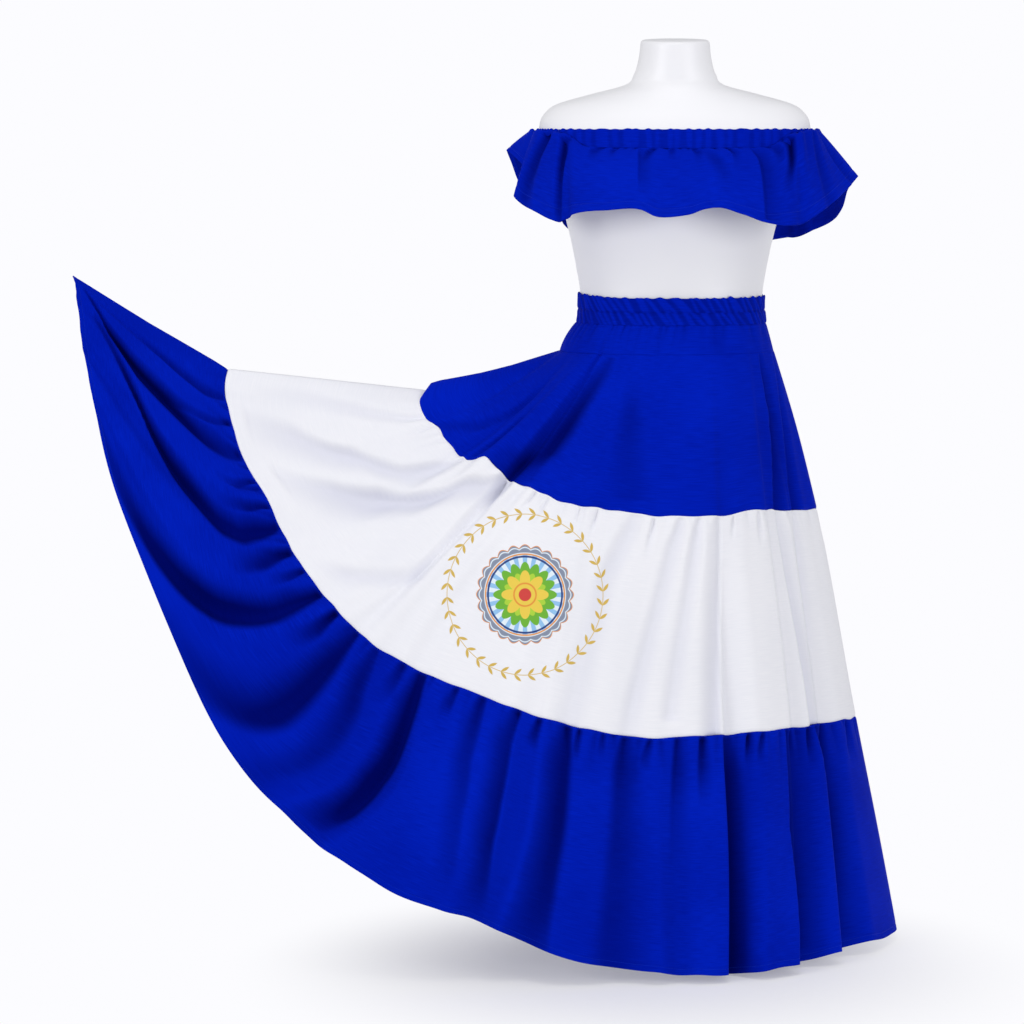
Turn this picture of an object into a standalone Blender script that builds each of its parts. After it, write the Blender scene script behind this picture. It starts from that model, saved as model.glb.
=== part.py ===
"""A two-piece folk dance dress on a limbless dress form: an off-shoulder flounced top and a long
skirt of three tiers, its left side lifted by the hem. Metres, +Z up, +X to the viewer's right,
the viewer on the -Y side, and the origin under the middle of the stand's base plate."""

from collections import namedtuple

import bmesh
import bpy
import numpy as np

# Cloth and clearances
WALL = 0.002
SEAM_GAP = 0.0004
WORN_GAP = 0.0004

# Stand and dress form
BASE_RADIUS = 0.180
BASE_HEIGHT = 0.012
BASE_BEVEL = 0.003
POLE_RADIUS = 0.016
ROUND_STEPS = 40
FORM_COLUMNS = 36
NECK_TILT = 0.075

# Skirt waist: the gathered waistband, then the plain yoke under it
WAIST_TOP = 0.957
WAIST_BOTTOM = 0.921
YOKE_SEAM_HEIGHT = 0.876
YOKE_LEFT = 0.168
YOKE_RIGHT = 0.147
YOKE_DEPTH = 0.118
YOKE_BULGE = 0.004
YOKE_COLUMNS = 52

# Neck band of the top
NECK_TOP = 1.200
NECK_BOTTOM = 1.168

# Gathers, counted round each piece, and how far they stand out
WAIST_GATHERS = 44
WAIST_RUCHE = 0.0014
WAIST_SLANT = 40.0
NECK_GATHERS = 46
NECK_RUCHE = 0.0013
TIER_2_GATHERS = 26
TIER_2_PUFF = 0.0040
TIER_3_GATHERS = 52
TIER_3_PUFF = 0.0060
FLOUNCE_GATHERS = 14
FLOUNCE_PUFF = 0.0030
COLUMNS_A_GATHER = 4
COLUMNS_A_RUCHE = 3

# One slice across a ring of the skirt, from the lifted fold on the left to the right side:
# how far round it lies, how far across, the depth of its front and back, and its height
Slice = namedtuple("Slice", "around across front back height")

SEAM_1 = (
    Slice(0.000, -0.349, -0.030, -0.030, 0.830),
    Slice(0.010, -0.371, -0.060, -0.012, 0.807),
    Slice(0.029, -0.362, -0.080, 0.010, 0.782),
    Slice(0.051, -0.345, -0.092, 0.025, 0.771),
    Slice(0.072, -0.331, -0.105, 0.040, 0.749),
    Slice(0.094, -0.316, -0.115, 0.055, 0.734),
    Slice(0.120, -0.296, -0.130, 0.075, 0.727),
    Slice(0.138, -0.274, -0.140, 0.090, 0.729),
    Slice(0.153, -0.258, -0.148, 0.100, 0.714),
    Slice(0.166, -0.245, -0.155, 0.112, 0.703),
    Slice(0.201, -0.207, -0.170, 0.137, 0.687),
    Slice(0.225, -0.181, -0.177, 0.150, 0.676),
    Slice(0.250, -0.152, -0.185, 0.163, 0.666),
    Slice(0.276, -0.124, -0.190, 0.173, 0.663),
    Slice(0.330, -0.034, -0.195, 0.185, 0.651),
    Slice(0.371, 0.048, -0.178, 0.175, 0.649),
    Slice(0.419, 0.127, -0.125, 0.130, 0.653),
    Slice(0.460, 0.183, -0.065, 0.070, 0.646),
    Slice(0.500, 0.213, 0.000, 0.000, 0.642),
)
SEAM_2 = (
    Slice(0.000, -0.649, -0.090, -0.090, 0.854),
    Slice(0.010, -0.653, -0.105, -0.078, 0.832),
    Slice(0.029, -0.643, -0.120, -0.065, 0.785),
    Slice(0.051, -0.625, -0.135, -0.050, 0.730),
    Slice(0.072, -0.597, -0.150, -0.030, 0.684),
    Slice(0.094, -0.570, -0.170, -0.010, 0.635),
    Slice(0.120, -0.538, -0.190, 0.020, 0.578),
    Slice(0.138, -0.509, -0.205, 0.045, 0.543),
    Slice(0.153, -0.483, -0.215, 0.060, 0.514),
    Slice(0.166, -0.460, -0.225, 0.080, 0.491),
    Slice(0.201, -0.383, -0.245, 0.135, 0.442),
    Slice(0.225, -0.326, -0.255, 0.165, 0.419),
    Slice(0.250, -0.262, -0.262, 0.195, 0.394),
    Slice(0.276, -0.198, -0.268, 0.215, 0.373),
    Slice(0.330, -0.057, -0.265, 0.240, 0.343),
    Slice(0.371, 0.052, -0.245, 0.232, 0.343),
    Slice(0.419, 0.162, -0.180, 0.180, 0.342),
    Slice(0.460, 0.234, -0.100, 0.105, 0.340),
    Slice(0.500, 0.273, 0.000, 0.000, 0.333),
)
TIER_3_MIDDLE = (
    Slice(0.000, -0.759, -0.120, -0.120, 0.922),
    Slice(0.010, -0.757, -0.130, -0.110, 0.901),
    Slice(0.029, -0.749, -0.140, -0.100, 0.870),
    Slice(0.051, -0.734, -0.152, -0.090, 0.825),
    Slice(0.072, -0.719, -0.165, -0.075, 0.764),
    Slice(0.094, -0.705, -0.180, -0.060, 0.701),
    Slice(0.120, -0.691, -0.205, -0.030, 0.610),
    Slice(0.138, -0.675, -0.220, -0.010, 0.537),
    Slice(0.153, -0.650, -0.235, 0.020, 0.471),
    Slice(0.166, -0.588, -0.250, 0.060, 0.390),
    Slice(0.201, -0.439, -0.280, 0.140, 0.292),
    Slice(0.225, -0.375, -0.290, 0.175, 0.268),
    Slice(0.250, -0.300, -0.297, 0.210, 0.249),
    Slice(0.276, -0.231, -0.305, 0.240, 0.217),
    Slice(0.330, -0.056, -0.305, 0.275, 0.182),
    Slice(0.371, 0.059, -0.285, 0.270, 0.175),
    Slice(0.419, 0.171, -0.215, 0.215, 0.177),
    Slice(0.460, 0.255, -0.125, 0.130, 0.180),
    Slice(0.500, 0.305, 0.000, 0.000, 0.173),
)
SKIRT_HEM = (
    Slice(0.000, -0.864, -0.150, -0.150, 0.992),
    Slice(0.010, -0.863, -0.155, -0.145, 0.988),
    Slice(0.029, -0.862, -0.157, -0.143, 0.980),
    Slice(0.051, -0.859, -0.160, -0.140, 0.961),
    Slice(0.072, -0.856, -0.165, -0.135, 0.936),
    Slice(0.094, -0.851, -0.170, -0.128, 0.900),
    Slice(0.120, -0.843, -0.180, -0.115, 0.858),
    Slice(0.138, -0.831, -0.190, -0.100, 0.805),
    Slice(0.153, -0.795, -0.215, -0.070, 0.669),
    Slice(0.166, -0.701, -0.250, -0.010, 0.444),
    Slice(0.201, -0.552, -0.290, 0.110, 0.229),
    Slice(0.225, -0.473, -0.305, 0.165, 0.169),
    Slice(0.250, -0.382, -0.320, 0.215, 0.120),
    Slice(0.276, -0.290, -0.330, 0.255, 0.093),
    Slice(0.296, -0.212, -0.336, 0.280, 0.060),
    Slice(0.310, -0.150, -0.338, 0.290, 0.036),
    Slice(0.330, -0.058, -0.335, 0.300, 0.022),
    Slice(0.371, 0.058, -0.320, 0.295, 0.012),
    Slice(0.419, 0.171, -0.265, 0.240, 0.016),
    Slice(0.460, 0.276, -0.150, 0.150, 0.020),
    Slice(0.500, 0.336, 0.000, 0.000, 0.012),
)
# Where each ring lies along the skirt: yoke seam, seam 1, seam 2, tier 3's middle, hem
RING_LEVELS = (0.0, 1.0, 2.0, 2.5, 3.0)

# How far round from the lifted fold the cloth is pulled straight between the seams
STRAIGHT_SPREAD = 0.016

# The turn round the yoke, from the left side, that meets each place round the skirt
YOKE_TURNS = ((0.0, 0.0), (0.166, 50.0), (0.276, 78.0), (0.330, 92.0), (0.371, 110.0), (0.419, 137.0),
              (0.460, 159.0), (0.5, 180.0))

# A long fold down the skirt: where it starts and how far it drifts by the hem, its width each
# side, and how far it stands out at each of the RING_LEVELS (a valley is negative)
Fold = namedtuple("Fold", "around drift left right heights")

FOLDS = (
    Fold(0.017, 0.000, 0.007, 0.007, (0.000, 0.000, -0.003, -0.004, 0.000)),
    Fold(0.051, 0.000, 0.012, 0.014, (0.000, -0.002, -0.008, -0.012, -0.001)),
    Fold(0.094, 0.000, 0.016, 0.014, (0.000, -0.004, -0.009, -0.013, -0.002)),
    Fold(0.138, 0.000, 0.014, 0.010, (0.000, 0.002, -0.010, -0.016, -0.003)),
    Fold(0.166, 0.000, 0.010, 0.010, (-0.004, -0.016, -0.006, -0.014, -0.008)),
    Fold(0.187, 0.000, 0.010, 0.010, (0.000, -0.003, -0.004, -0.010, -0.012)),
    Fold(0.207, 0.000, 0.012, 0.010, (0.000, 0.000, -0.006, -0.016, -0.016)),
    Fold(0.260, 0.018, 0.014, 0.008, (0.000, 0.000, -0.006, -0.014, -0.018)),
    Fold(0.284, 0.010, 0.014, 0.008, (0.000, -0.002, -0.006, -0.014, -0.020)),
    Fold(0.325, 0.000, 0.014, 0.014, (0.000, 0.000, -0.004, -0.010, -0.014)),
    Fold(0.347, 0.000, 0.010, 0.012, (0.000, 0.000, -0.003, -0.008, -0.012)),
    Fold(0.380, 0.001, 0.007, 0.018, (0.000, -0.004, -0.014, -0.030, -0.046)),
    Fold(0.425, 0.001, 0.007, 0.018, (-0.001, -0.005, -0.012, -0.024, -0.036)),
    Fold(0.450, 0.001, 0.007, 0.018, (-0.001, -0.005, -0.012, -0.022, -0.034)),
    Fold(0.548, 0.004, 0.014, 0.010, (0.000, -0.004, -0.010, -0.022, -0.034)),
    Fold(0.590, -0.004, 0.014, 0.014, (-0.001, -0.005, -0.010, -0.024, -0.038)),
    Fold(0.632, 0.006, 0.012, 0.018, (0.000, -0.005, -0.012, -0.026, -0.040)),
    Fold(0.676, -0.004, 0.016, 0.010, (0.000, -0.003, -0.008, -0.018, -0.028)),
    Fold(0.716, 0.004, 0.012, 0.014, (0.000, -0.003, -0.008, -0.018, -0.026)),
    Fold(0.756, -0.010, 0.010, 0.014, (0.000, -0.002, -0.006, -0.014, -0.020)),
    Fold(0.798, -0.004, 0.010, 0.012, (0.000, -0.004, -0.006, -0.014, -0.014)),
    Fold(0.832, 0.000, 0.010, 0.010, (-0.004, -0.012, -0.006, -0.012, -0.008)),
    Fold(0.864, 0.000, 0.010, 0.014, (0.000, -0.003, -0.008, -0.012, -0.003)),
    Fold(0.906, 0.000, 0.014, 0.016, (0.000, -0.003, -0.008, -0.010, -0.001)),
    Fold(0.952, 0.000, 0.014, 0.012, (0.000, 0.000, -0.006, -0.007, 0.000)),
)

# Rows of the skirt's pieces, as levels between the rings
TIER_1_ROWS = (0.0, 0.30, 0.65, 1.0)
TIER_2_ROWS = (1.0, 1.12, 1.40, 1.70, 2.0)
TIER_3_ROWS = (2.0, 2.12, 2.40, 2.70, 3.0)

# The flounce's hem: how far round, across, depth and height
HemPoint = namedtuple("HemPoint", "around across depth height")

FLOUNCE_HEM = (
    HemPoint(0.000, -0.245, 0.030, 1.168),
    HemPoint(0.025, -0.222, -0.020, 1.142),
    HemPoint(0.050, -0.236, -0.060, 1.107),
    HemPoint(0.085, -0.200, -0.115, 1.079),
    HemPoint(0.110, -0.174, -0.141, 1.069),
    HemPoint(0.127, -0.161, -0.147, 1.074),
    HemPoint(0.145, -0.148, -0.165, 1.080),
    HemPoint(0.175, -0.108, -0.172, 1.085),
    HemPoint(0.215, -0.055, -0.168, 1.085),
    HemPoint(0.238, -0.030, -0.185, 1.076),
    HemPoint(0.262, 0.010, -0.185, 1.078),
    HemPoint(0.285, 0.036, -0.165, 1.086),
    HemPoint(0.305, 0.060, -0.160, 1.088),
    HemPoint(0.325, 0.088, -0.168, 1.080),
    HemPoint(0.355, 0.124, -0.175, 1.067),
    HemPoint(0.375, 0.150, -0.168, 1.063),
    HemPoint(0.395, 0.174, -0.150, 1.065),
    HemPoint(0.425, 0.212, -0.110, 1.085),
    HemPoint(0.455, 0.248, -0.055, 1.112),
    HemPoint(0.483, 0.268, -0.012, 1.131),
    HemPoint(0.505, 0.256, 0.018, 1.112),
    HemPoint(0.527, 0.250, 0.050, 1.082),
    HemPoint(0.553, 0.238, 0.085, 1.063),
    HemPoint(0.583, 0.210, 0.115, 1.048),
    HemPoint(0.620, 0.166, 0.140, 1.036),
    HemPoint(0.660, 0.108, 0.158, 1.027),
    HemPoint(0.700, 0.054, 0.152, 1.033),
    HemPoint(0.740, 0.002, 0.165, 1.025),
    HemPoint(0.780, -0.052, 0.154, 1.032),
    HemPoint(0.820, -0.104, 0.160, 1.030),
    HemPoint(0.860, -0.148, 0.142, 1.046),
    HemPoint(0.895, -0.176, 0.118, 1.074),
    HemPoint(0.925, -0.204, 0.104, 1.096),
    HemPoint(0.950, -0.226, 0.080, 1.118),
    HemPoint(0.976, -0.238, 0.055, 1.148),
)
# Round the flounce: how far its seam climbs the band, and how far its crest stands out and up
# from that seam
Crest = namedtuple("Crest", "around lift out rise")

FLOUNCE_CREST = (
    Crest(0.00, 0.0280, 0.006, 0.0010),
    Crest(0.09, 0.0275, 0.006, 0.0010),
    Crest(0.13, 0.0100, 0.010, -0.0020),
    Crest(0.16, 0.0012, 0.014, -0.0040),
    Crest(0.25, 0.0000, 0.017, -0.0070),
    Crest(0.36, 0.0012, 0.015, -0.0040),
    Crest(0.40, 0.0140, 0.010, -0.0010),
    Crest(0.43, 0.0270, 0.006, 0.0010),
    Crest(0.50, 0.0280, 0.006, 0.0010),
    Crest(0.57, 0.0270, 0.006, 0.0010),
    Crest(0.62, 0.0040, 0.012, -0.0030),
    Crest(0.75, 0.0000, 0.015, -0.0060),
    Crest(0.88, 0.0040, 0.012, -0.0030),
    Crest(0.94, 0.0270, 0.006, 0.0010),
    Crest(1.00, 0.0280, 0.006, 0.0010),
)
FLOUNCE_LEVELS = (0.0, 1.0, 2.0)
FLOUNCE_FOLDS = (
    Fold(0.030, 0.000, 0.016, 0.014, (0.000, 0.000, -0.008)),
    Fold(0.127, 0.000, 0.016, 0.014, (0.000, -0.004, -0.005)),
    Fold(0.405, -0.006, 0.012, 0.014, (0.000, -0.006, -0.012)),
    Fold(0.600, 0.000, 0.014, 0.014, (0.000, -0.003, -0.010)),
    Fold(0.905, 0.000, 0.012, 0.014, (0.000, -0.002, -0.008)),
)
FLOUNCE_ROWS = (0.0, 0.5, 1.0, 1.5, 2.0)

# Level sections of the dress form: height, half width, half depth, depth of its centre, and
# squareness (2 is an ellipse)
Section = namedtuple("Section", "height half_width half_depth centre squareness")

FORM_SECTIONS = (
    Section(0.742, 0.090, 0.068, 0.000, 2.2),
    Section(0.748, 0.112, 0.085, 0.000, 2.2),
    Section(0.766, 0.127, 0.096, 0.000, 2.2),
    Section(0.800, 0.1330, 0.101, 0.000, 2.2),
    Section(0.845, 0.1360, 0.104, 0.000, 2.2),
    Section(0.885, 0.1360, 0.104, 0.000, 2.2),
    Section(0.921, 0.1345, 0.102, 0.000, 2.2),
    Section(0.957, 0.1335, 0.100, 0.000, 2.2),
    Section(1.000, 0.1400, 0.103, 0.000, 2.2),
    Section(1.050, 0.1505, 0.110, -0.002, 2.25),
    Section(1.095, 0.1640, 0.116, -0.004, 2.35),
    Section(1.140, 0.1850, 0.111, -0.003, 2.5),
    Section(1.168, 0.1965, 0.101, 0.000, 2.6),
    Section(1.200, 0.1985, 0.092, 0.002, 2.6),
    Section(1.221, 0.1915, 0.084, 0.004, 2.5),
    Section(1.236, 0.1720, 0.076, 0.006, 2.4),
    Section(1.250, 0.1240, 0.068, 0.007, 2.2),
    Section(1.264, 0.0720, 0.060, 0.006, 2.0),
    Section(1.279, 0.0600, 0.056, 0.003, 2.0),
    Section(1.300, 0.0535, 0.053, 0.000, 2.0),
    Section(1.329, 0.0500, 0.050, -0.003, 2.0),
)


def make_material(name, colour, roughness, metallic=0.0):
    """A plain Principled finish with the part's own colour."""
    material = bpy.data.materials.new(name)
    material.use_nodes = True
    shader = material.node_tree.nodes["Principled BSDF"]
    shader.inputs["Base Color"].default_value = (*colour, 1.0)
    shader.inputs["Roughness"].default_value = roughness
    shader.inputs["Metallic"].default_value = metallic
    material.diffuse_color = (*colour, 1.0)
    return material


def add_object(name, shape, material, collection, smooth_angle=0.6):
    """Turn a finished bmesh into a named object with outward, smoothly shaded faces."""
    bmesh.ops.recalc_face_normals(shape, faces=shape.faces)
    mesh = bpy.data.meshes.new(name)
    shape.to_mesh(mesh)
    shape.free()
    mesh.materials.append(material)
    mesh.shade_smooth()
    mesh.set_sharp_from_angle(angle=smooth_angle)
    piece = bpy.data.objects.new(name, mesh)
    collection.objects.link(piece)
    return piece


def unit(vectors):
    return vectors / np.linalg.norm(vectors, axis=-1, keepdims=True)


def hermite(start, end, leave, arrive, share):
    """Points on cubic curves between two ends with the given tangents."""
    square = share * share
    cube = square * share
    return (start * (2 * cube - 3 * square + 1) + leave * (cube - 2 * square + share)
            + end * (3 * square - 2 * cube) + arrive * (cube - square))


def round_spline(places, points, around):
    """Points at the given places round a closed smooth curve through the table's points."""
    gap_after = np.diff(np.append(places, places[0] + 1.0))[:, None]
    gap_before = np.roll(gap_after, 1, axis=0)
    slope_after = (np.roll(points, -1, axis=0) - points) / gap_after
    slope_before = np.roll(slope_after, 1, axis=0)
    slope = (slope_before * gap_after + slope_after * gap_before) / (gap_after + gap_before)
    around = np.mod(around, 1.0)
    first = np.searchsorted(places, around, side="right") - 1
    second = (first + 1) % len(places)
    gap = gap_after[first]
    share = (around - places[first])[:, None] / gap
    return hermite(points[first], points[second], slope[first] * gap, slope[second] * gap, share)


def superellipse(half_width, half_depth, squareness, turn):
    """Across and depth of a rounded-off rectangle, with the turn counted from the left side."""
    cosine, sine = np.cos(turn), np.sin(turn)
    reach = (np.abs(cosine) ** squareness + np.abs(sine) ** squareness) ** (-1.0 / squareness)
    return -half_width * reach * cosine, -half_depth * reach * sine


def form_ring(height, turn, clear=0.0):
    """The dress form's outline at a height, grown outwards by a clearance."""
    table = np.array(FORM_SECTIONS)
    half_width, half_depth, centre, squareness = (
        np.interp(height, table[:, 0], table[:, column]) for column in range(1, 5)
    )
    across, depth = superellipse(half_width + clear, half_depth + clear, squareness, turn)
    return np.stack([across, depth + centre, np.full_like(across, height)], axis=-1)


def slices_ring(slices, around):
    """A closed ring through a table of slices: their fronts, then their backs."""
    table = np.array(slices)
    fronts = table[:, [1, 2, 4]]
    backs = table[-2:0:-1, [1, 3, 4]]
    places = np.concatenate([table[:, 0], 1.0 - table[-2:0:-1, 0]])
    return round_spline(places, np.concatenate([fronts, backs]), around)


def yoke_turn(around):
    """The turn round the yoke that meets a place round the skirt, mirrored for the back."""
    places, degrees = np.array(YOKE_TURNS).T
    around = np.mod(around, 1.0)
    half = np.where(around > 0.5, 1.0 - around, around)
    turn = np.radians(np.interp(half, places, degrees))
    return np.where(around > 0.5, 2 * np.pi - turn, turn)


def yoke_ring(around):
    """The seam under the yoke, a level ellipse that reaches further to the lifted side."""
    across, depth = superellipse((YOKE_LEFT + YOKE_RIGHT) / 2, YOKE_DEPTH, 2.0, yoke_turn(around))
    middle = (YOKE_RIGHT - YOKE_LEFT) / 2
    return np.stack([across + middle, depth, np.full_like(across, YOKE_SEAM_HEIGHT)], axis=-1)


def spline_down(rings, levels, level, straight=0.0):
    """Points at one level on curves that run down through the rings, pulled straight where asked."""
    slopes = [(rings[i + 1] - rings[i]) / (levels[i + 1] - levels[i]) for i in range(len(rings) - 1)]
    inner = [
        (slopes[i - 1] * (levels[i + 1] - levels[i]) + slopes[i] * (levels[i] - levels[i - 1]))
        / (levels[i + 1] - levels[i - 1])
        for i in range(1, len(rings) - 1)
    ]
    tangents = [1.5 * slopes[0] - 0.5 * inner[0], *inner, 1.5 * slopes[-1] - 0.5 * inner[-1]]
    first = min(max(np.searchsorted(levels, level, side="right") - 1, 0), len(rings) - 2)
    gap = levels[first + 1] - levels[first]
    share = (level - levels[first]) / gap
    leave = tangents[first] + (slopes[first] - tangents[first]) * straight
    arrive = tangents[first + 1] + (slopes[first] - tangents[first + 1]) * straight
    return hermite(rings[first], rings[first + 1], leave * gap, arrive * gap, share)


def offset_round(around, centre):
    """The signed distance round the ring from a centre, the short way."""
    return np.mod(around - centre + 0.5, 1.0) - 0.5


def skirt_base(around, level):
    """The skirt's smooth surface, without folds."""
    rings = [yoke_ring(around)] + [slices_ring(table, around)
                                   for table in (SEAM_1, SEAM_2, TIER_3_MIDDLE, SKIRT_HEM)]
    straight = np.exp(-((offset_round(around, 0.0) / STRAIGHT_SPREAD) ** 2))[:, None]
    return spline_down(rings, RING_LEVELS, level, straight)


def fold_height(folds, levels, around, level):
    """How far long folds push a surface out at each place round it."""
    height = np.zeros_like(around)
    for fold in folds:
        offset = offset_round(around, fold.around + fold.drift * level / levels[-1])
        share = offset / np.where(offset < 0, fold.left, fold.right)
        bump = np.where(np.abs(share) < 1, np.cos(np.pi / 2 * share) ** 2, 0.0)
        height += np.interp(level, levels, fold.heights) * bump
    return height


def gather_swell(depth_below):
    """Gathers start flat in their seam, are fullest just below it and ease out further down."""
    return np.interp(depth_below, (0.0, 0.12, 0.45, 1.0), (0.0, 1.0, 0.45, 0.15))


def gather_height(around, level):
    """Gathers of tier 2 and tier 3 below their seams."""
    if level > RING_LEVELS[2]:
        swell = TIER_3_PUFF * gather_swell(level - RING_LEVELS[2])
        return swell * np.cos(2 * np.pi * TIER_3_GATHERS * around)
    if level > RING_LEVELS[1]:
        fade = 1.0 - (level - RING_LEVELS[1])
        swell = TIER_2_PUFF * gather_swell(level - RING_LEVELS[1]) * fade
        return swell * np.cos(2 * np.pi * TIER_2_GATHERS * around)
    return np.zeros_like(around)


def skirt_directions(around, level):
    """The skirt's directions along and down its smooth surface."""
    side, down = 0.002, 0.01
    along = skirt_base(around + side, level) - skirt_base(around - side, level)
    lower = skirt_base(around, min(level + down, RING_LEVELS[-1]))
    upper = skirt_base(around, max(level - down, RING_LEVELS[0]))
    return along, lower - upper


def skirt_outside(around, level):
    """The skirt's outer face, folds and gathers included."""
    along, down = skirt_directions(around, level)
    height = fold_height(FOLDS, RING_LEVELS, around, level) + gather_height(around, level)
    return skirt_base(around, level) + unit(np.cross(down, along)) * height[:, None]


def skirt_wall(around, level, step):
    """Outer and inner points of one row, with the unit direction down the skirt."""
    down = unit(skirt_directions(around, level)[1])
    outer = skirt_outside(around, level)
    along = skirt_outside(around + step, level) - skirt_outside(around - step, level)
    inward = -unit(np.cross(down, along))
    if level == RING_LEVELS[0]:
        inward[:, 2] = 0.0
        inward = unit(inward)
    return outer, outer + WALL * inward, down


def seam_row(around, level, coarse, side):
    """One row beside a seam, on the straight chords between the coarse columns' points."""
    rows = skirt_wall(coarse, level, 0.5 * (coarse[1] - coarse[0]))
    outer, inner, down = (
        np.stack([np.interp(around, coarse, row[:, axis]) for axis in range(3)], axis=-1) for row in rows
    )
    shift = side * SEAM_GAP / 2
    if level == RING_LEVELS[0]:
        down = np.array([0.0, 0.0, -1.0])
    return outer + shift * down, inner + shift * down


def part_sides(rows):
    """Pull a panel's two side edges in by half a seam gap, along the row."""
    for row in rows:
        row[0] += unit(row[1] - row[0]) * SEAM_GAP / 2
        row[-1] += unit(row[-2] - row[-1]) * SEAM_GAP / 2


def sheet_solid(outer, inner, joined):
    """A closed wall: a grid laid on the inner points, extruded to the outer points."""
    rows, columns = outer.shape[:2]
    shape = bmesh.new()
    bmesh.ops.create_grid(shape, x_segments=columns - 1, y_segments=rows - 1, size=1.0)
    place = shape.verts.layers.int.new("place")
    for index, vert in enumerate(shape.verts):
        vert[place] = index
        vert.co = inner.reshape(-1, 3)[index]
    if joined:
        bmesh.ops.remove_doubles(shape, verts=shape.verts, dist=1e-6)
    pulled = bmesh.ops.extrude_face_region(shape, geom=shape.faces[:])["geom"]
    for vert in pulled:
        if isinstance(vert, bmesh.types.BMVert):
            vert.co = outer.reshape(-1, 3)[vert[place]]
    bmesh.ops.triangulate(shape, faces=shape.faces, quad_method="SHORT_EDGE")
    return shape


def skirt_panel(rows, start, end, columns, top_columns, bottom_columns):
    """One half of a tier between two side seams; rows on a seam take the coarser columns."""
    around = np.linspace(start, end, columns + 1)
    step = 0.5 * (around[1] - around[0])
    outer, inner = [], []
    for level in rows:
        if level == rows[0]:
            pair = seam_row(around, level, np.linspace(start, end, top_columns + 1), 1.0)
        elif level == rows[-1] and bottom_columns:
            pair = seam_row(around, level, np.linspace(start, end, bottom_columns + 1), -1.0)
        else:
            pair = skirt_wall(around, level, step)[:2]
        outer.append(pair[0])
        inner.append(pair[1])
    outer, inner = np.array(outer), np.array(inner)
    part_sides(outer)
    part_sides(inner)
    return sheet_solid(outer, inner, joined=False)


def make_tiers(collection, blue, white):
    """Three tiers, each a front and a back panel joined at the sides."""
    columns_1 = TIER_2_GATHERS * COLUMNS_A_GATHER // 2
    columns_3 = TIER_3_GATHERS * COLUMNS_A_GATHER // 2
    for side, start, end in (("front", 0.0, 0.5), ("back", 0.5, 1.0)):
        tier_1 = skirt_panel(TIER_1_ROWS, start, end, columns_1, YOKE_COLUMNS // 2, columns_1)
        add_object(f"skirt_tier_1_{side}", tier_1, blue, collection)
        tier_2 = skirt_panel(TIER_2_ROWS, start, end, columns_1, columns_1, columns_1)
        add_object(f"skirt_tier_2_{side}", tier_2, white, collection)
        tier_3 = skirt_panel(TIER_3_ROWS, start, end, columns_3, columns_1, 0)
        add_object(f"skirt_tier_3_{side}", tier_3, blue, collection)


def waist_ring(turn, outset, height):
    """A level outline outside the form's waist."""
    ring = form_ring(WAIST_BOTTOM, turn, WORN_GAP + outset)
    ring[:, 2] = height
    return ring


def make_waistband(collection, blue):
    """A casing with two gathered channels and a plain inside."""
    columns = WAIST_GATHERS * COLUMNS_A_RUCHE
    turn = np.linspace(0.0, 2 * np.pi, columns + 1)
    height = WAIST_TOP - WAIST_BOTTOM
    outer, inner = [], []
    for share, puff in ((0.0, 0.4), (0.22, 1.0), (0.5, 0.1), (0.78, 1.0), (1.0, 0.2)):
        level = WAIST_TOP - share * height
        wave = 1.0 + np.sin(WAIST_GATHERS * turn - WAIST_SLANT * share * height)
        bulge = WALL * 0.6 * puff + WAIST_RUCHE * puff * wave / 2 + WALL
        outer.append(waist_ring(turn, bulge, level))
        inner.append(waist_ring(turn, 0.0, level))
    shape = sheet_solid(np.array(outer), np.array(inner), joined=True)
    add_object("skirt_waistband", shape, blue, collection)


def make_yoke(collection, blue):
    """A plain band that widens from the waistband to the first tier."""
    around = np.linspace(0.0, 1.0, YOKE_COLUMNS + 1)
    turn = yoke_turn(around)
    turn[-1] = 2 * np.pi
    height = WAIST_BOTTOM - SEAM_GAP
    top = waist_ring(turn, WALL * 1.6, height), waist_ring(turn, WALL * 0.6, height)
    bottom = seam_row(around, RING_LEVELS[0], around, -1.0)
    bulge = np.array([1.0, 0.0, 0.0]) * np.minimum(top[0][:, :1], 0.0) / YOKE_LEFT * YOKE_BULGE
    rows = [np.array([upper, (upper + lower) / 2 + bulge, lower]) for upper, lower in zip(top, bottom)]
    add_object("skirt_yoke", sheet_solid(rows[0], rows[1], joined=True), blue, collection)


def make_neck_band(collection, blue):
    """The gathered elastic band round the shoulders, plain inside."""
    columns = NECK_GATHERS * COLUMNS_A_RUCHE
    turn = np.linspace(0.0, 2 * np.pi, columns + 1)
    wave = (1.0 + np.sin(NECK_GATHERS * turn)) / 2
    plain, away = {}, {}
    for level in (NECK_TOP, NECK_BOTTOM):
        ring = form_ring(level, turn)
        away[level] = unit(form_ring(level, turn, 1.0) - ring)
        plain[level] = ring + away[level] * WORN_GAP
    inner = [plain[NECK_TOP], (plain[NECK_TOP] + plain[NECK_BOTTOM]) / 2, plain[NECK_BOTTOM]]
    outer = [
        row + away[NECK_TOP] * (WALL + NECK_RUCHE * puff * wave)[:, None]
        for row, puff in zip(inner, (0.5, 1.0, 0.6))
    ]
    shape = sheet_solid(np.array(outer), np.array(inner), joined=True)
    add_object("top_neck_band", shape, blue, collection)


def flounce_crest(around):
    """The climb of the flounce's seam, and its crest's distance out and up from it."""
    table = np.array(FLOUNCE_CREST)
    return [np.interp(np.mod(around, 1.0), table[:, 0], table[:, column]) for column in (1, 2, 3)]


def away_from_band(around):
    """The level direction out of the neck band at each place round it."""
    turn = 2 * np.pi * np.mod(around, 1.0)
    return unit(form_ring(NECK_BOTTOM, turn, 1.0) - form_ring(NECK_BOTTOM, turn))


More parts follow.
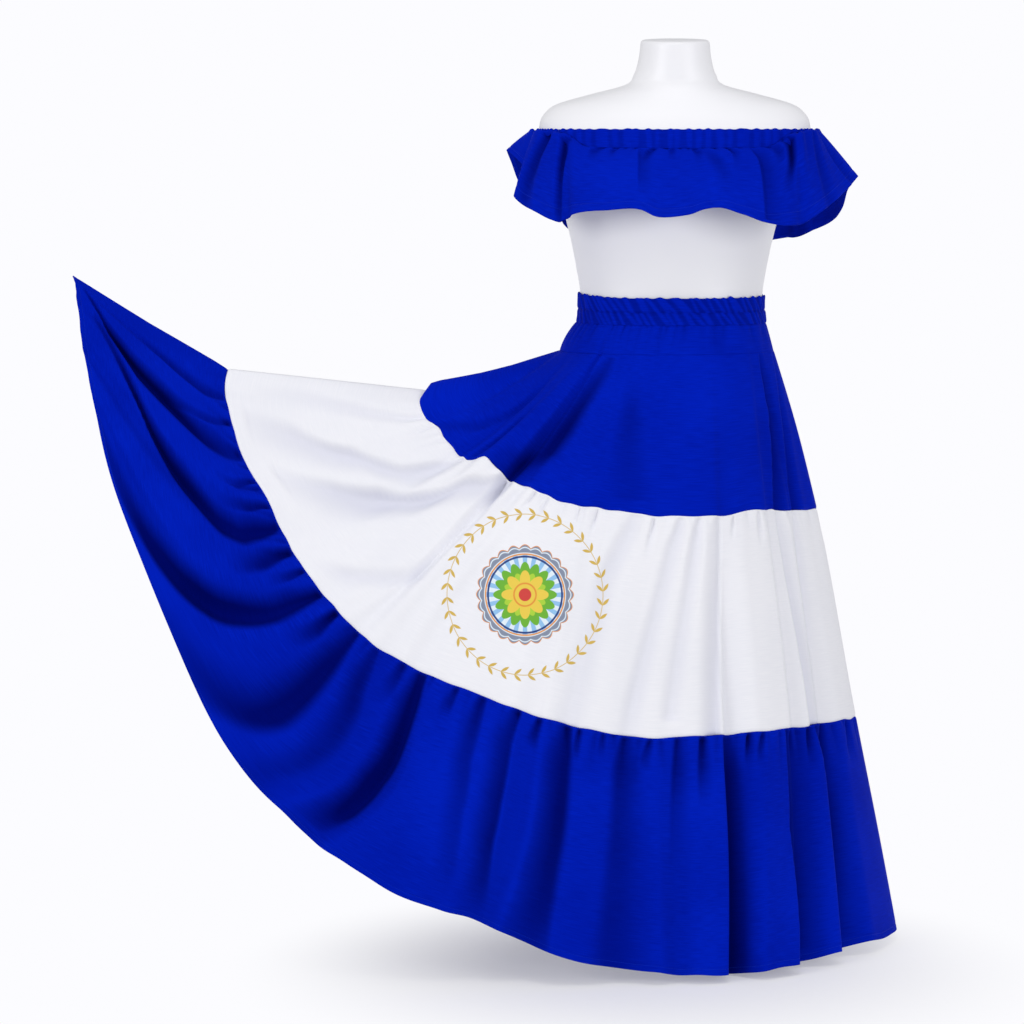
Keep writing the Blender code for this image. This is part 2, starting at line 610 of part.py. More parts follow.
def flounce_rings(around):
    """The flounce's seam on the band, its crest and its hem."""
    turn = 2 * np.pi * np.mod(around, 1.0)
    lift, out, rise = flounce_crest(around)
    climb = (lift / (NECK_TOP - NECK_BOTTOM))[:, None]
    band = form_ring(NECK_BOTTOM, turn) * (1.0 - climb) + form_ring(NECK_TOP, turn) * climb
    away = away_from_band(around)
    seam = band + away * (WORN_GAP + WALL + NECK_RUCHE + SEAM_GAP + WALL)
    crest = seam + away * out[:, None]
    crest[:, 2] += rise
    hem_table = np.array(FLOUNCE_HEM)
    hem = round_spline(hem_table[:, 0], hem_table[:, 1:], around)
    return [seam, crest, hem]


def flounce_base(around, level):
    """The flounce's smooth surface; it leaves its seam flat where that climbs the band."""
    lift = flounce_crest(around)[0]
    straight = lift / max(row.lift for row in FLOUNCE_CREST) if level < FLOUNCE_LEVELS[1] else 0.0 * lift
    return spline_down(flounce_rings(around), FLOUNCE_LEVELS, level, straight[:, None])


def flounce_outside(around, level):
    """The flounce's outer face with its folds and gathers, and the direction down it."""
    side, down = 0.004, 0.02
    along = flounce_base(around + side, level) - flounce_base(around - side, level)
    lower = flounce_base(around, min(level + down, FLOUNCE_LEVELS[-1]))
    upper = flounce_base(around, max(level - down, FLOUNCE_LEVELS[0]))
    away = unit(np.cross(lower - upper, along))
    swell = FLOUNCE_PUFF * np.interp(level, (0.0, 0.5, 1.0, 2.0), (0.0, 0.8, 1.0, 0.4))
    height = swell * (1.0 + np.cos(2 * np.pi * FLOUNCE_GATHERS * around))
    height += fold_height(FLOUNCE_FOLDS, FLOUNCE_LEVELS, around, level)
    return flounce_base(around, level) + away * height[:, None], lower - upper


def flounce_wall(around, level, step):
    """Outer and inner points of one row of the flounce, whose top edge meets the band squarely."""
    outer, down = flounce_outside(around, level)
    if level == FLOUNCE_LEVELS[0]:
        return outer, outer - WALL * away_from_band(around)
    along = flounce_outside(around + step, level)[0] - flounce_outside(around - step, level)[0]
    return outer, outer - WALL * unit(np.cross(down, along))


def make_flounce(collection, blue):
    """The wide flounce, a front and a back panel joined at the arms."""
    columns = FLOUNCE_GATHERS * COLUMNS_A_GATHER
    for side, start, end in (("front", 0.0, 0.5), ("back", 0.5, 1.0)):
        around = np.linspace(start, end, columns + 1)
        walls = [flounce_wall(around, level, 0.25 / columns) for level in FLOUNCE_ROWS]
        outer = np.array([wall[0] for wall in walls])
        inner = np.array([wall[1] for wall in walls])
        part_sides(outer)
        part_sides(inner)
        add_object(f"top_flounce_{side}", sheet_solid(outer, inner, joined=False), blue, collection)


def make_form(collection, white):
    """The torso and neck in one smooth body, drawn up from its round bottom cap."""
    turn = np.linspace(0.0, 2 * np.pi, FORM_COLUMNS, endpoint=False)
    shape = bmesh.new()
    bmesh.ops.create_circle(shape, cap_ends=True, segments=FORM_COLUMNS, radius=1.0)
    place = shape.verts.layers.int.new("place")
    for index, vert in enumerate(shape.verts):
        vert[place] = index
    cap = shape.faces[:]
    heights = np.array([section.height for section in FORM_SECTIONS])
    for level, height in enumerate(heights):
        ring = form_ring(height, turn)
        lean = max(0.0, height - FORM_SECTIONS[-3].height) / (heights[-1] - FORM_SECTIONS[-3].height)
        ring[:, 2] += lean * NECK_TILT * ring[:, 1]
        if level:
            pulled = bmesh.ops.extrude_face_region(shape, geom=cap)["geom"]
            bmesh.ops.delete(shape, geom=cap if level > 1 else [], context="FACES_ONLY")
            cap = [item for item in pulled if isinstance(item, bmesh.types.BMFace)]
        for face in cap:
            for vert in face.verts:
                vert.co = ring[vert[place]]
    add_object("dress_form", shape, white, collection)


def make_cylinder(name, radius, bottom, top, bevel, material, collection):
    """An upright round piece with its rims softened."""
    shape = bmesh.new()
    bmesh.ops.create_cone(shape, cap_ends=True, segments=ROUND_STEPS, radius1=radius, radius2=radius,
                          depth=top - bottom)
    bmesh.ops.translate(shape, verts=shape.verts, vec=(0.0, 0.0, (top + bottom) / 2))
    if bevel:
        rims = [edge for edge in shape.edges if len(edge.link_faces) == 2
                and min(len(face.verts) for face in edge.link_faces) == 4
                and max(len(face.verts) for face in edge.link_faces) > 4
                and edge.verts[0].co.z > (top + bottom) / 2]
        bmesh.ops.bevel(shape, geom=rims, offset=bevel, segments=2, profile=0.5, affect="EDGES", material=-1)
    add_object(name, shape, material, collection)


def make_stand(collection, metal):
    """A round base plate and the pole that carries the form."""
    make_cylinder("stand_base", BASE_RADIUS, 0.0, BASE_HEIGHT, BASE_BEVEL, metal, collection)
    make_cylinder("stand_pole", POLE_RADIUS, BASE_HEIGHT + SEAM_GAP, FORM_SECTIONS[0].height - SEAM_GAP, 0.0,
                  metal, collection)


def main():
    for item in list(bpy.data.objects):
        bpy.data.objects.remove(item, do_unlink=True)
    collection = bpy.data.collections.new("nicaraguan_folk_dress")
    bpy.context.scene.collection.children.link(collection)
    blue = make_material("royal_blue_crepe", (0.002, 0.012, 0.42), 0.55)
    white = make_material("white_crepe", (0.86, 0.87, 0.92), 0.6)
    form_white = make_material("form_white", (0.88, 0.88, 0.90), 0.35)
    metal = make_material("stand_metal", (0.62, 0.62, 0.64), 0.3, 0.9)
    make_stand(collection, metal)
    make_form(collection, form_white)
    make_waistband(collection, blue)
    make_yoke(collection, blue)
    make_tiers(collection, blue, white)
    make_neck_band(collection, blue)
    make_flounce(collection, blue)


main()
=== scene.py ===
# The looks of a folk dance dress on its form: crepe with gathers, creases, seams and stitches.
# Metres, +Z up, +X to the viewer's right, the viewer on the -Y side.
from collections import namedtuple

import bmesh
import bpy
import numpy as np
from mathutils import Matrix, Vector


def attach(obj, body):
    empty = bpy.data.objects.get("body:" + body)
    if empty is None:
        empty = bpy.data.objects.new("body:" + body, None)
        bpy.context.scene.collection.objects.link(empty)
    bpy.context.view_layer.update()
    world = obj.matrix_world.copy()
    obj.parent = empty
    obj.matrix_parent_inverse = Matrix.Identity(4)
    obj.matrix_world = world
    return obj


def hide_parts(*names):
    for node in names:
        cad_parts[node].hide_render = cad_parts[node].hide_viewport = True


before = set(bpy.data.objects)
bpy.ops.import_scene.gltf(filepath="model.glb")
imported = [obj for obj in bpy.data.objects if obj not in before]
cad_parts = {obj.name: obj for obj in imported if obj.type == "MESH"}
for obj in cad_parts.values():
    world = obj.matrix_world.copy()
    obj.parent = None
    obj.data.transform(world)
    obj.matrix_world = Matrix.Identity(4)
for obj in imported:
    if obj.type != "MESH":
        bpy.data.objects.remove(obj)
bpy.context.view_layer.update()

# Camera: where it stands, how far it looks down, and its lens in pixels of the 1024-pixel frame
CAMERA_PLACE = (-0.238, -5.5, 1.2)
CAMERA_PITCH = 5.85
CAMERA_FOCUS = 3740.0
FRAME_PIXELS = 1024.0
SENSOR = 36.0

# Cloth: its thickness and the bands', their gap off the form, the width of a seam's groove, and the
# hem with the depth and width of the groove along its stitches
CLOTH = 0.0009
BAND_CLOTH = 0.0010
WORN_GAP = 0.0004
GROOVE_WIDTH = 0.0022
HEM_DEPTH = 0.009
HEM_GROOVE = (0.0006, 0.0012)

# Skirt waist, as its solids have it
WAIST_TOP = 0.957
WAIST_BOTTOM = 0.921
YOKE_SEAM_HEIGHT = 0.876
YOKE_LEFT = 0.168
YOKE_RIGHT = 0.147
YOKE_DEPTH = 0.118
YOKE_BULGE = 0.004

# Neck band and neck
NECK_TOP = 1.200
NECK_BOTTOM = 1.168
NECK_TILT = 0.075

# Flounce: how far its seam and its turned-in edge stand off the band, its gathers and how they
# swell down it, the painted shade under the band, and the spacing of its rows
FLOUNCE_STAND = 0.0048
FLOUNCE_TUCK = 0.0024
FLOUNCE_GATHERS = 14
FLOUNCE_PUFF = 0.0026
FLOUNCE_GATHER_SHARE = 0.7
FLOUNCE_SWELL = ((0.0, 0.5, 1.0, 2.0), (0.0, 0.8, 1.0, 0.4))
TUCK_PAINTED_SHADE = 0.0060
TUCK_WIDTH = 0.0080
FLOUNCE_SPACING = 0.0032


def thousandths(value):
    """A number, or every number of a row, given in thousandths."""
    if isinstance(value, tuple):
        return tuple(thousandths(part) for part in value)
    return value / 1000.0


def table_of(kind, rows):
    """A table whose numbers are all in thousandths: of a metre, of the way round or of a level."""
    return tuple(kind(*thousandths(row)) for row in rows)


# One slice across a ring of the skirt, from the lifted fold on the left to the right side:
# how far round it lies, how far across, the depth of its front and back, and its height
Slice = namedtuple("Slice", "around across front back height")

SEAM_1 = table_of(Slice, (
    (0, -361, -34, -28, 820),
    (10, -371, -60, -12, 807),
    (29, -362, -80, 10, 782),
    (51, -345, -92, 25, 771),
    (72, -331, -105, 40, 749),
    (94, -316, -115, 55, 734),
    (120, -296, -130, 75, 727),
    (138, -274, -140, 90, 729),
    (153, -258, -148, 100, 714),
    (166, -245, -155, 112, 703),
    (201, -207, -170, 137, 687),
    (225, -181, -177, 150, 676),
    (250, -152, -185, 163, 666),
    (276, -124, -190, 173, 663),
    (330, -34, -195, 185, 651),
    (371, 48, -178, 175, 649),
    (419, 127, -125, 130, 653),
    (460, 183, -65, 70, 646),
    (500, 213, 0, 0, 642),
))
SEAM_2 = table_of(Slice, (
    (0, -649, -90, -90, 854),
    (10, -653, -105, -78, 832),
    (29, -643, -120, -65, 785),
    (51, -625, -135, -50, 730),
    (72, -597, -150, -30, 684),
    (94, -570, -170, -10, 635),
    (120, -538, -190, 20, 578),
    (138, -509, -205, 45, 543),
    (153, -483, -215, 60, 514),
    (166, -460, -225, 80, 491),
    (201, -383, -245, 135, 442),
    (225, -326, -255, 165, 419),
    (250, -262, -262, 195, 394),
    (276, -198, -268, 215, 373),
    (330, -57, -265, 240, 343),
    (371, 52, -245, 232, 343),
    (419, 162, -180, 180, 342),
    (460, 234, -100, 105, 340),
    (500, 273, 0, 0, 333),
))
TIER_3_MIDDLE = table_of(Slice, (
    (0, -759, -120, -120, 922),
    (10, -757, -130, -110, 901),
    (29, -749, -140, -100, 870),
    (51, -734, -152, -90, 825),
    (72, -719, -165, -75, 764),
    (94, -705, -180, -60, 701),
    (120, -691, -205, -30, 610),
    (138, -675, -220, -10, 537),
    (153, -650, -235, 20, 471),
    (166, -588, -250, 60, 390),
    (201, -439, -280, 140, 292),
    (225, -375, -290, 175, 268),
    (250, -300, -297, 210, 249),
    (276, -231, -305, 240, 217),
    (330, -56, -305, 275, 182),
    (371, 59, -285, 270, 175),
    (419, 171, -215, 215, 177),
    (460, 255, -125, 130, 180),
    (500, 305, 0, 0, 173),
))
SKIRT_HEM = table_of(Slice, (
    (0, -864, -150, -150, 992),
    (10, -863, -155, -145, 988),
    (29, -862, -157, -143, 980),
    (51, -859, -160, -140, 961),
    (72, -856, -165, -135, 936),
    (94, -851, -170, -128, 900),
    (120, -843, -180, -115, 858),
    (138, -831, -190, -100, 805),
    (153, -795, -215, -70, 669),
    (166, -701, -250, -10, 444),
    (201, -552, -290, 110, 229),
    (225, -473, -305, 165, 169),
    (250, -382, -320, 215, 120),
    (276, -290, -330, 255, 93),
    (296, -212, -336, 280, 60),
    (310, -150, -338, 290, 36),
    (330, -58, -335, 300, 22),
    (371, 58, -320, 295, 12),
    (419, 171, -265, 240, 16),
    (460, 276, -150, 150, 20),
    (500, 336, 0, 0, 12),
))

# Where each ring lies along the skirt: yoke seam, seam 1, seam 2, tier 3's middle, hem
RING_LEVELS = (0.0, 1.0, 2.0, 2.5, 3.0)

# How far round from the lifted fold the cloth is pulled straight between the seams
STRAIGHT_SPREAD = 0.016

# The turn round the yoke, from the left side, that meets each place round the skirt
YOKE_TURNS = ((0.0, 0.0), (0.166, 50.0), (0.276, 78.0), (0.330, 92.0), (0.371, 110.0), (0.419, 137.0),
              (0.460, 159.0), (0.5, 180.0))

# A long fold down the skirt: where it starts and how far it drifts by the hem, its width each
# side, and how far it stands out at each of the RING_LEVELS (a valley is negative)
Fold = namedtuple("Fold", "around drift left right heights")

FOLDS = table_of(Fold, (
    (17, 0, 7, 7, (0, 0, -3, -4, 0)),
    (51, 0, 12, 14, (0, -2, -2, -12, -1)),
    (94, 0, 16, 14, (0, -4, -3, -13, -2)),
    (138, 0, 14, 10, (0, 2, -5, -16, -3)),
    (166, 0, 10, 10, (-4, -16, -6, -14, -8)),
    (187, 0, 10, 10, (0, -3, -4, -10, -12)),
    (207, 0, 12, 10, (0, 0, -6, -16, -16)),
    (260, 18, 14, 8, (0, 0, -6, -14, -18)),
    (284, 10, 14, 8, (0, -2, -6, -14, -20)),
    (325, 0, 14, 14, (0, 0, -4, -10, -14)),
    (347, 0, 10, 12, (0, 0, -3, -8, -12)),
    (380, 1, 7, 18, (0, -4, -14, -30, -46)),
    (425, 1, 7, 18, (-1, -5, -12, -24, -36)),
    (450, 1, 7, 18, (-1, -5, -12, -22, -34)),
    (548, 4, 14, 10, (0, -4, -10, -22, -34)),
    (590, -4, 14, 14, (-1, -5, -10, -24, -38)),
    (632, 6, 12, 18, (0, -5, -12, -26, -40)),
    (676, -4, 16, 10, (0, -3, -8, -18, -28)),
    (716, 4, 12, 14, (0, -3, -8, -18, -26)),
    (756, -10, 10, 14, (0, -2, -6, -14, -20)),
    (798, -4, 10, 12, (0, -4, -6, -14, -14)),
    (832, 0, 10, 10, (-4, -12, -6, -12, -8)),
    (864, 0, 10, 14, (0, -3, -8, -12, -3)),
    (906, 0, 14, 16, (0, -3, -8, -10, -1)),
    (952, 0, 14, 12, (0, 0, -6, -7, 0)),
))

# The flounce's hem: how far round, across, depth and height
HemPoint = namedtuple("HemPoint", "around across depth height")

FLOUNCE_HEM = table_of(HemPoint, (
    (0, -245, 30, 1168),
    (25, -222, -20, 1142),
    (50, -236, -60, 1107),
    (85, -200, -115, 1079),
    (110, -174, -141, 1069),
    (127, -161, -147, 1074),
    (145, -148, -165, 1080),
    (175, -108, -172, 1085),
    (215, -55, -168, 1085),
    (238, -30, -185, 1076),
    (262, 10, -185, 1078),
    (285, 36, -165, 1086),
    (305, 60, -160, 1088),
    (325, 88, -168, 1080),
    (355, 124, -175, 1067),
    (375, 150, -168, 1063),
    (395, 174, -150, 1065),
    (425, 212, -110, 1085),
    (455, 248, -55, 1112),
    (483, 268, -12, 1131),
    (505, 256, 18, 1112),
    (527, 250, 50, 1082),
    (553, 238, 85, 1063),
    (583, 210, 115, 1048),
    (620, 166, 140, 1036),
    (660, 108, 158, 1027),
    (700, 54, 152, 1033),
    (740, 2, 165, 1025),
    (780, -52, 154, 1032),
    (820, -104, 160, 1030),
    (860, -148, 142, 1046),
    (895, -176, 118, 1074),
    (925, -204, 104, 1096),
    (950, -226, 80, 1118),
    (976, -238, 55, 1148),
))

# Round the flounce: how far its seam climbs the band, and how far its crest stands out and up
# from that seam
Crest = namedtuple("Crest", "around lift out rise")

FLOUNCE_CREST = table_of(Crest, (
    (0, 28, 6, 1),
    (105, 28, 7, -1),
    (121, 27, 9, -4),
    (132, 19, 12, -10),
    (144, 6, 14, -14),
    (250, 4.5, 15, -18),
    (357, 6, 14, -14),
    (370, 17, 12, -10),
    (383, 26.5, 9, -5),
    (400, 28, 7, -1),
    (500, 28, 6, 1),
    (600, 28, 7, -1),
    (640, 6, 13, -14),
    (750, 4.5, 14, -17),
    (860, 6, 13, -14),
    (900, 28, 7, -1),
    (1000, 28, 6, 1),
))
CREST_SOFTENING = (-0.008, -0.004, 0.0, 0.004, 0.008)
FLOUNCE_LEVELS = (0.0, 1.0, 2.0)
FLOUNCE_FOLDS = table_of(Fold, (
    (30, 0, 16, 14, (0, 0, -8)),
    (127, 0, 16, 14, (0, -4, -5)),
    (405, -6, 12, 14, (0, -1, -4)),
    (600, 0, 14, 14, (0, -3, -10)),
    (905, 0, 12, 14, (0, -2, -8)),
))

# Level sections of the dress form: height, half width, half depth, depth of its centre, and
# squareness (2000 is an ellipse)
Section = namedtuple("Section", "height half_width half_depth centre squareness")

FORM_SECTIONS = table_of(Section, (
    (742, 90, 68, 0, 2200),
    (748, 112, 85, 0, 2200),
    (766, 127, 96, 0, 2200),
    (800, 133, 101, 0, 2200),
    (845, 136, 104, 0, 2200),
    (885, 136, 104, 0, 2200),
    (921, 134.5, 102, 0, 2200),
    (957, 133.5, 100, 0, 2200),
    (1000, 140, 103, 0, 2200),
    (1050, 150.5, 110, -2, 2250),
    (1095, 164, 116, -4, 2350),
    (1140, 185, 111, -3, 2500),
    (1168, 196.5, 101, 0, 2600),
    (1200, 198.5, 92, 2, 2600),
    (1221, 191.5, 84, 4, 2500),
    (1236, 172, 76, 6, 2400),
    (1250, 124, 68, 7, 2200),
    (1264, 72, 60, 6, 2000),
    (1279, 60, 56, 3, 2000),
    (1300, 53.5, 53, 0, 2000),
    (1329, 50, 50, -3, 2000),
))

# Below the bust the form stands a little to the lifted side: heights, and how far
FORM_ASIDE = ((1.060, 1.150), (-0.004, 0.0))

# Real depths of the tiers and of the flounce down the cloth, and the top's length round
TIER_1_DEPTH = 0.240
TIER_2_DEPTH = 0.314
TIER_3_DEPTH = 0.340
FLOUNCE_DEPTH = 0.150
FLOUNCE_GIRTH = 1.600

# Each seam of the skirt: its level, the depth of the tier under it, and how far it sinks in
SEAMS = ((0.0, TIER_1_DEPTH, 0.0005), (1.0, TIER_2_DEPTH, 0.0014), (2.0, TIER_3_DEPTH, 0.0014))

# A crease picked in the photo: the levels it runs through, where it lies round the skirt at
# each, how deep it is there, and its width to each side
Crease = namedtuple("Crease", "levels arounds depths left right")

SKIRT_CREASES = table_of(Crease, (
    # Tier 1, front: the deep valley from the hip to the lifted side, and softer ones beside it
    ((20, 200, 400, 600, 760, 880, 1000), (199, 193, 188, 187, 183, 168, 163),
     (3, 7, 10, 12, 12, 10, 7), 32, 32),
    ((250, 500, 800, 1000), (100, 94, 71, 45), (0, 3, 4, 2), 14, 14),
    ((500, 700, 840, 1000), (126, 124, 122, 114), (0, 4, 5, 2), 8, 8),
    ((150, 460, 930), (264, 289, 309), (0, 5, 3), 26, 26),
    ((0, 200, 420, 660, 1000), (438, 439.5, 441.5, 439, 433), (2, 7, 9, 8, 6), 2.5, 16),
    ((0, 370, 850, 1000), (474, 462.5, 454, 454), (1, 3, 5, 6), 2, 12),
    # The rounded top of the lifted side beside the first seam
    ((360, 600, 780, 900, 965, 1000), (0, 0, 0, 0, 0, 0), (0, -1.5, -3.6, -5.1, -5, -2), 22, 22),
    # Tier 2, front: swags of the lifted side
    ((1000, 1080, 1340, 1530, 1870), (27, 25.5, 15.5, 11.5, 10), (4, 5, 5, 4, 0), 5, 8),
    ((1000, 1060, 1140), (46, 47, 49), (3, 3, 0), 4, 5),
    ((1000, 1070, 1290, 1440, 1660, 1910), (106, 98.5, 78.5, 50.5, 32, 25.5), (4, 7, 10, 11, 9, 2), 10, 24),
    ((1000, 1090, 1280, 1440, 1620, 1840), (164.5, 155, 120, 91, 73, 58), (6, 10, 14, 16, 12, 3), 12, 34),
    ((1000, 1040, 1170, 1240), (163, 164.5, 169.5, 171), (5, 7, 5, 0), 4, 3),
    ((1020, 1060, 1220, 1420), (190, 186, 177, 168), (1, 3, 2, 0), 12, 16),
    ((1500, 1650, 1850, 1950), (166, 162.5, 131, 125), (0, 6, 6, 0), 14, 16),
    # Tier 2, front: puckers under its seam and the folds that lean to the lifted side
    ((1000, 1060, 1140), (205, 204, 201), (4, 4, 0), 4, 4),
    ((1000, 1080, 1180), (222, 221, 218), (4, 4, 0), 4, 5),
    ((1000, 1050, 1120), (261, 261, 261), (3, 3, 0), 3, 4),
    ((1000, 1060, 1150), (282.5, 282, 281), (4, 5, 0), 3, 4),
    ((1000, 1080, 1350, 2000), (315, 313, 300, 293.5), (4, 6, 7, 4), 12, 12),
    ((1000, 1040, 1100, 1220), (329.5, 329.5, 328, 326), (4, 6, 4, 0), 3, 5),
    ((1000, 1050, 1180, 1830, 2000), (349, 348.5, 344, 327, 324), (4, 7, 6, 6, 3), 8, 9),
    ((1000, 1080, 1930), (362, 360.5, 346), (5, 6, 5), 7, 8),
    ((1000, 1420, 2000), (378, 375.5, 373), (3, 8, 10), 14, 3),
    ((1000, 1050, 1130), (390.5, 389.5, 388), (4, 4, 0), 3, 3),
    ((1000, 1060, 1180), (413, 412.5, 411.5), (4, 5, 0), 3, 5),
    ((1000, 1340, 1770, 2000), (433.5, 435.5, 438.5, 439.5), (3, 7, 9, 9), 3, 14),
    ((1000, 1340, 1670), (453, 451.5, 449), (3, 5, 2), 3, 8),
    # Tier 3, front: the folds that fan from the lifted corner, and the short ones at the seam
    ((2000, 2140, 2360, 2600), (17.5, 21, 20.5, 17.5), (6, 7, 6, 0), 7, 4),
    ((2000, 2200, 2410, 2550), (32, 40.5, 48, 49), (6, 6, 3, 0), 5, 3),
    ((2000, 2260, 2510, 2680, 2820, 2940), (51, 56, 55, 55.5, 45.5, 18.5), (7, 10, 16, 16, 10, 2), 13, 8),
    ((2000, 2040, 2160, 2280), (67, 68, 75.5, 76.5), (7, 9, 6, 0), 4.6, 3.4),
    ((2000, 2080, 2180), (71.2, 74, 78.5), (6, 4, 0), 3.4, 2.3),
    ((2000, 2050, 2140, 2300), (82.5, 83, 87, 91), (7, 9, 7, 0), 5.7, 3.4),
    ((2000, 2050, 2230, 2340, 2450, 2560, 2660, 2760, 2900), (94, 97, 105, 103.5, 97, 92.5, 84.5, 69.5, 50),
     (10, 12, 14, 15, 16, 15, 14, 10, 2), 13, 6),
    ((2000, 2170, 2340), (110, 117.5, 121), (11, 11, 0), 9.2, 4.6),
    ((2000, 2090, 2190), (122.5, 125.5, 127.5), (10, 7, 0), 5.7, 3.4),
    ((2000, 2220, 2360, 2520, 2670, 2790, 2900, 2970), (138, 141.5, 140, 140.5, 144, 146.5, 147.5, 146.5),
     (10, 13, 16, 17, 16, 13, 8, 3), 12, 6),
    ((2000, 2120, 2240), (152, 155.5, 155), (11, 10, 0), 6.9, 4.6),
    ((2000, 2200, 2500, 2800, 3000), (167, 169, 170, 169, 168), (8, 12, 12, 8, 3), 10, 5),
    ((2000, 2170, 2270, 2420, 2650, 2900), (181.3, 182, 184, 184, 183.5, 183), (7, 9, 8, 6, 4, 1), 9, 5),
    ((2000, 2100, 2200), (197.5, 196.5, 193.5), (9, 7, 0), 8, 3.4),
    ((2000, 2130, 2290, 2510, 2750, 2930), (210.5, 210, 208, 205.5, 207.5, 206.5),
     (9, 12, 14, 16, 12, 3), 13, 4),
    ((2000, 2090, 2150), (230, 228.5, 227.5), (9, 7, 0), 6.9, 2.9),
    ((2000, 2120, 2300, 2550, 2800, 2950), (244.5, 243.5, 242.5, 247, 256.5, 260),
     (7, 8, 7, 5, 3, 0), 10, 4),
    ((2000, 2150, 2410, 2600, 2800, 2980), (264.5, 262, 263, 266, 272, 277), (8, 9, 10, 10, 6, 0), 14, 3),
    ((2000, 2090, 2150), (277, 275.5, 275), (9, 7, 0), 6.9, 2.9),
    ((2000, 2180, 2380, 2620, 2870, 3000), (293, 293.5, 294.5, 295.5, 298, 300), (8, 9, 9, 8, 6, 4), 16, 3),
    ((2000, 2090, 2150), (298.5, 297.5, 297), (9, 7, 0), 4.6, 2.9),
    ((2000, 2050, 2120), (311, 310.5, 310), (7, 6, 0), 4.6, 2.9),
    ((2000, 2130, 2300, 2510, 2800, 3000), (322.5, 320.5, 320, 319, 319, 320), (7, 8, 6, 5, 4, 3), 6, 12),
    ((2000, 2090, 2150), (336, 333, 332), (9, 6, 0), 4.6, 4.6),
    ((2000, 2120, 2290, 2600), (350, 349, 347.5, 346), (8, 8, 4, 0), 3, 9),
    ((2000, 2110, 2300), (363, 362.5, 362), (10, 9, 0), 3.4, 8),
    ((2000, 2160, 2500, 3000), (377, 378, 378.5, 379), (7, 10, 9, 4), 3, 12),
    ((2000, 2050, 2140), (392.5, 392, 391), (9, 7, 0), 3.4, 4.6),
    ((2000, 2070, 2150), (401, 399, 398), (9, 7, 0), 5.7, 3.4),
    ((2000, 2190, 2420, 2650, 2960), (417, 417.5, 416.5, 419.5, 422.5), (7, 8, 10, 9, 4), 2, 14),
    ((2000, 2050, 2140), (423, 423, 424), (9, 7, 0), 3.4, 4.6),
    ((2000, 2050, 2200), (436, 436, 437.5), (9, 7, 0), 3.4, 4.6),
    ((2000, 2140, 2380, 2620, 2960), (440.5, 445.5, 448.5, 448.5, 446.5), (7, 8, 10, 9, 4), 2, 14),
    ((2000, 2100, 2250), (452, 450.5, 450), (9, 7, 0), 3.4, 6.9),
    ((2000, 2080, 2200), (474, 473, 472), (9, 6, 0), 3.4, 6.9),
))
FLOUNCE_CREASES = table_of(Crease, (
    # Over the lifted side's shoulder
    ((400, 1170, 1450, 1640, 2000), (128, 125, 118, 115, 113), (3, 10, 10, 8, 5), 10, 7),
    ((600, 1090, 1420, 1700, 2000), (94, 91, 74, 67, 66), (3, 9, 9, 7, 4), 13, 13),
    ((900, 1400, 2000), (36, 40, 46), (2, 5, 4), 14, 10),
    # Across the chest
    ((100, 600, 1200), (163, 160, 158), (3, 5, 0), 6, 12),
    ((0, 500, 1000), (181, 180, 179), (3, 4, 0), 5, 6),
    ((300, 800, 1400, 1750), (209, 209.5, 211.5, 213), (2, 5, 4, 0), 3, 18),
    ((100, 500, 1100), (222, 219, 214), (4, 6, 0), 5, 9),
    ((100, 500, 1000), (244, 243, 242), (3, 4, 0), 5, 6),
    ((100, 500, 1300), (268, 270, 273), (4, 5, 0), 6, 8),
    ((300, 1000, 1800), (276, 290, 312), (1, 5, 0), 14, 12),
    ((100, 600, 1300), (305, 309, 313), (4, 5, 0), 5, 9),
    ((300, 800, 1220, 1590, 1950), (328, 332, 339.5, 346.5, 354.5), (1, 5, 6, 5, 4), 3, 24),
    # Over the right shoulder: the deep fold at the band's end, the ridge beside it and the wing
    ((100, 900, 1400), (350, 360, 366), (3, 6, 0), 10, 8),
    ((200, 1020, 1330, 1700), (374, 379.5, 383.5, 379), (6, 14, 11, 0), 14, 7),
    ((800, 1300, 1900), (394, 398, 404), (-2, -5, -2), 9, 12),
    ((1000, 1500, 2000), (425, 428, 432), (2, 4, 3), 8, 12),
    ((1000, 1500, 2000), (452, 458, 466), (2, 4, 3), 4, 12),
    # Back
    ((300, 1000, 2000), (580, 584, 590), (1, 5, 7), 10, 12),
    ((300, 1000, 2000), (680, 678, 676), (1, 5, 7), 12, 10),
    ((300, 1000, 2000), (790, 792, 794), (1, 5, 7), 12, 12),
    ((300, 1000, 2000), (880, 880, 884), (1, 5, 6), 10, 10),
))

# Puckers at a gathered seam: its level, their number round, height, reach in levels, and seed
Gathers = namedtuple("Gathers", "level count puff reach seed")

SKIRT_GATHERS = (
    Gathers(1.0, 74, 0.0030, 0.22, 11),
    Gathers(2.0, 124, 0.0042, 0.24, 12),
)
FLOUNCE_PUCKERS = Gathers(0.0, 72, 0.0030, 1.00, 13)
YOKE_LINES = Gathers(0.0, 58, 0.0030, 1.7, 34)

# Each pucker: how far it strays round, its width, size, length and drift, how it swells along its
# run, and how much it widens
PUCKER_STRAY = 0.32
PUCKER_WIDTHS = (0.30, 0.52)
PUCKER_SIZES = (0.35, 1.3)
PUCKER_LENGTHS = (0.25, 1.0)
PUCKER_DRIFT = 0.5
PUCKER_SWELL = ((0.0, 0.08, 0.35, 1.0), (0.0, 1.0, 0.6, 0.0))
PUCKER_WIDENS = 0.8

# Faint unevenness of a cloth: its size, its seed and its share at the top; then how many waves it is
# made of, how often each goes round, how it leans, how much it counts and how the finer ones fade,
# and the level where all of it is there
Ripples = namedtuple("Ripples", "size seed start")

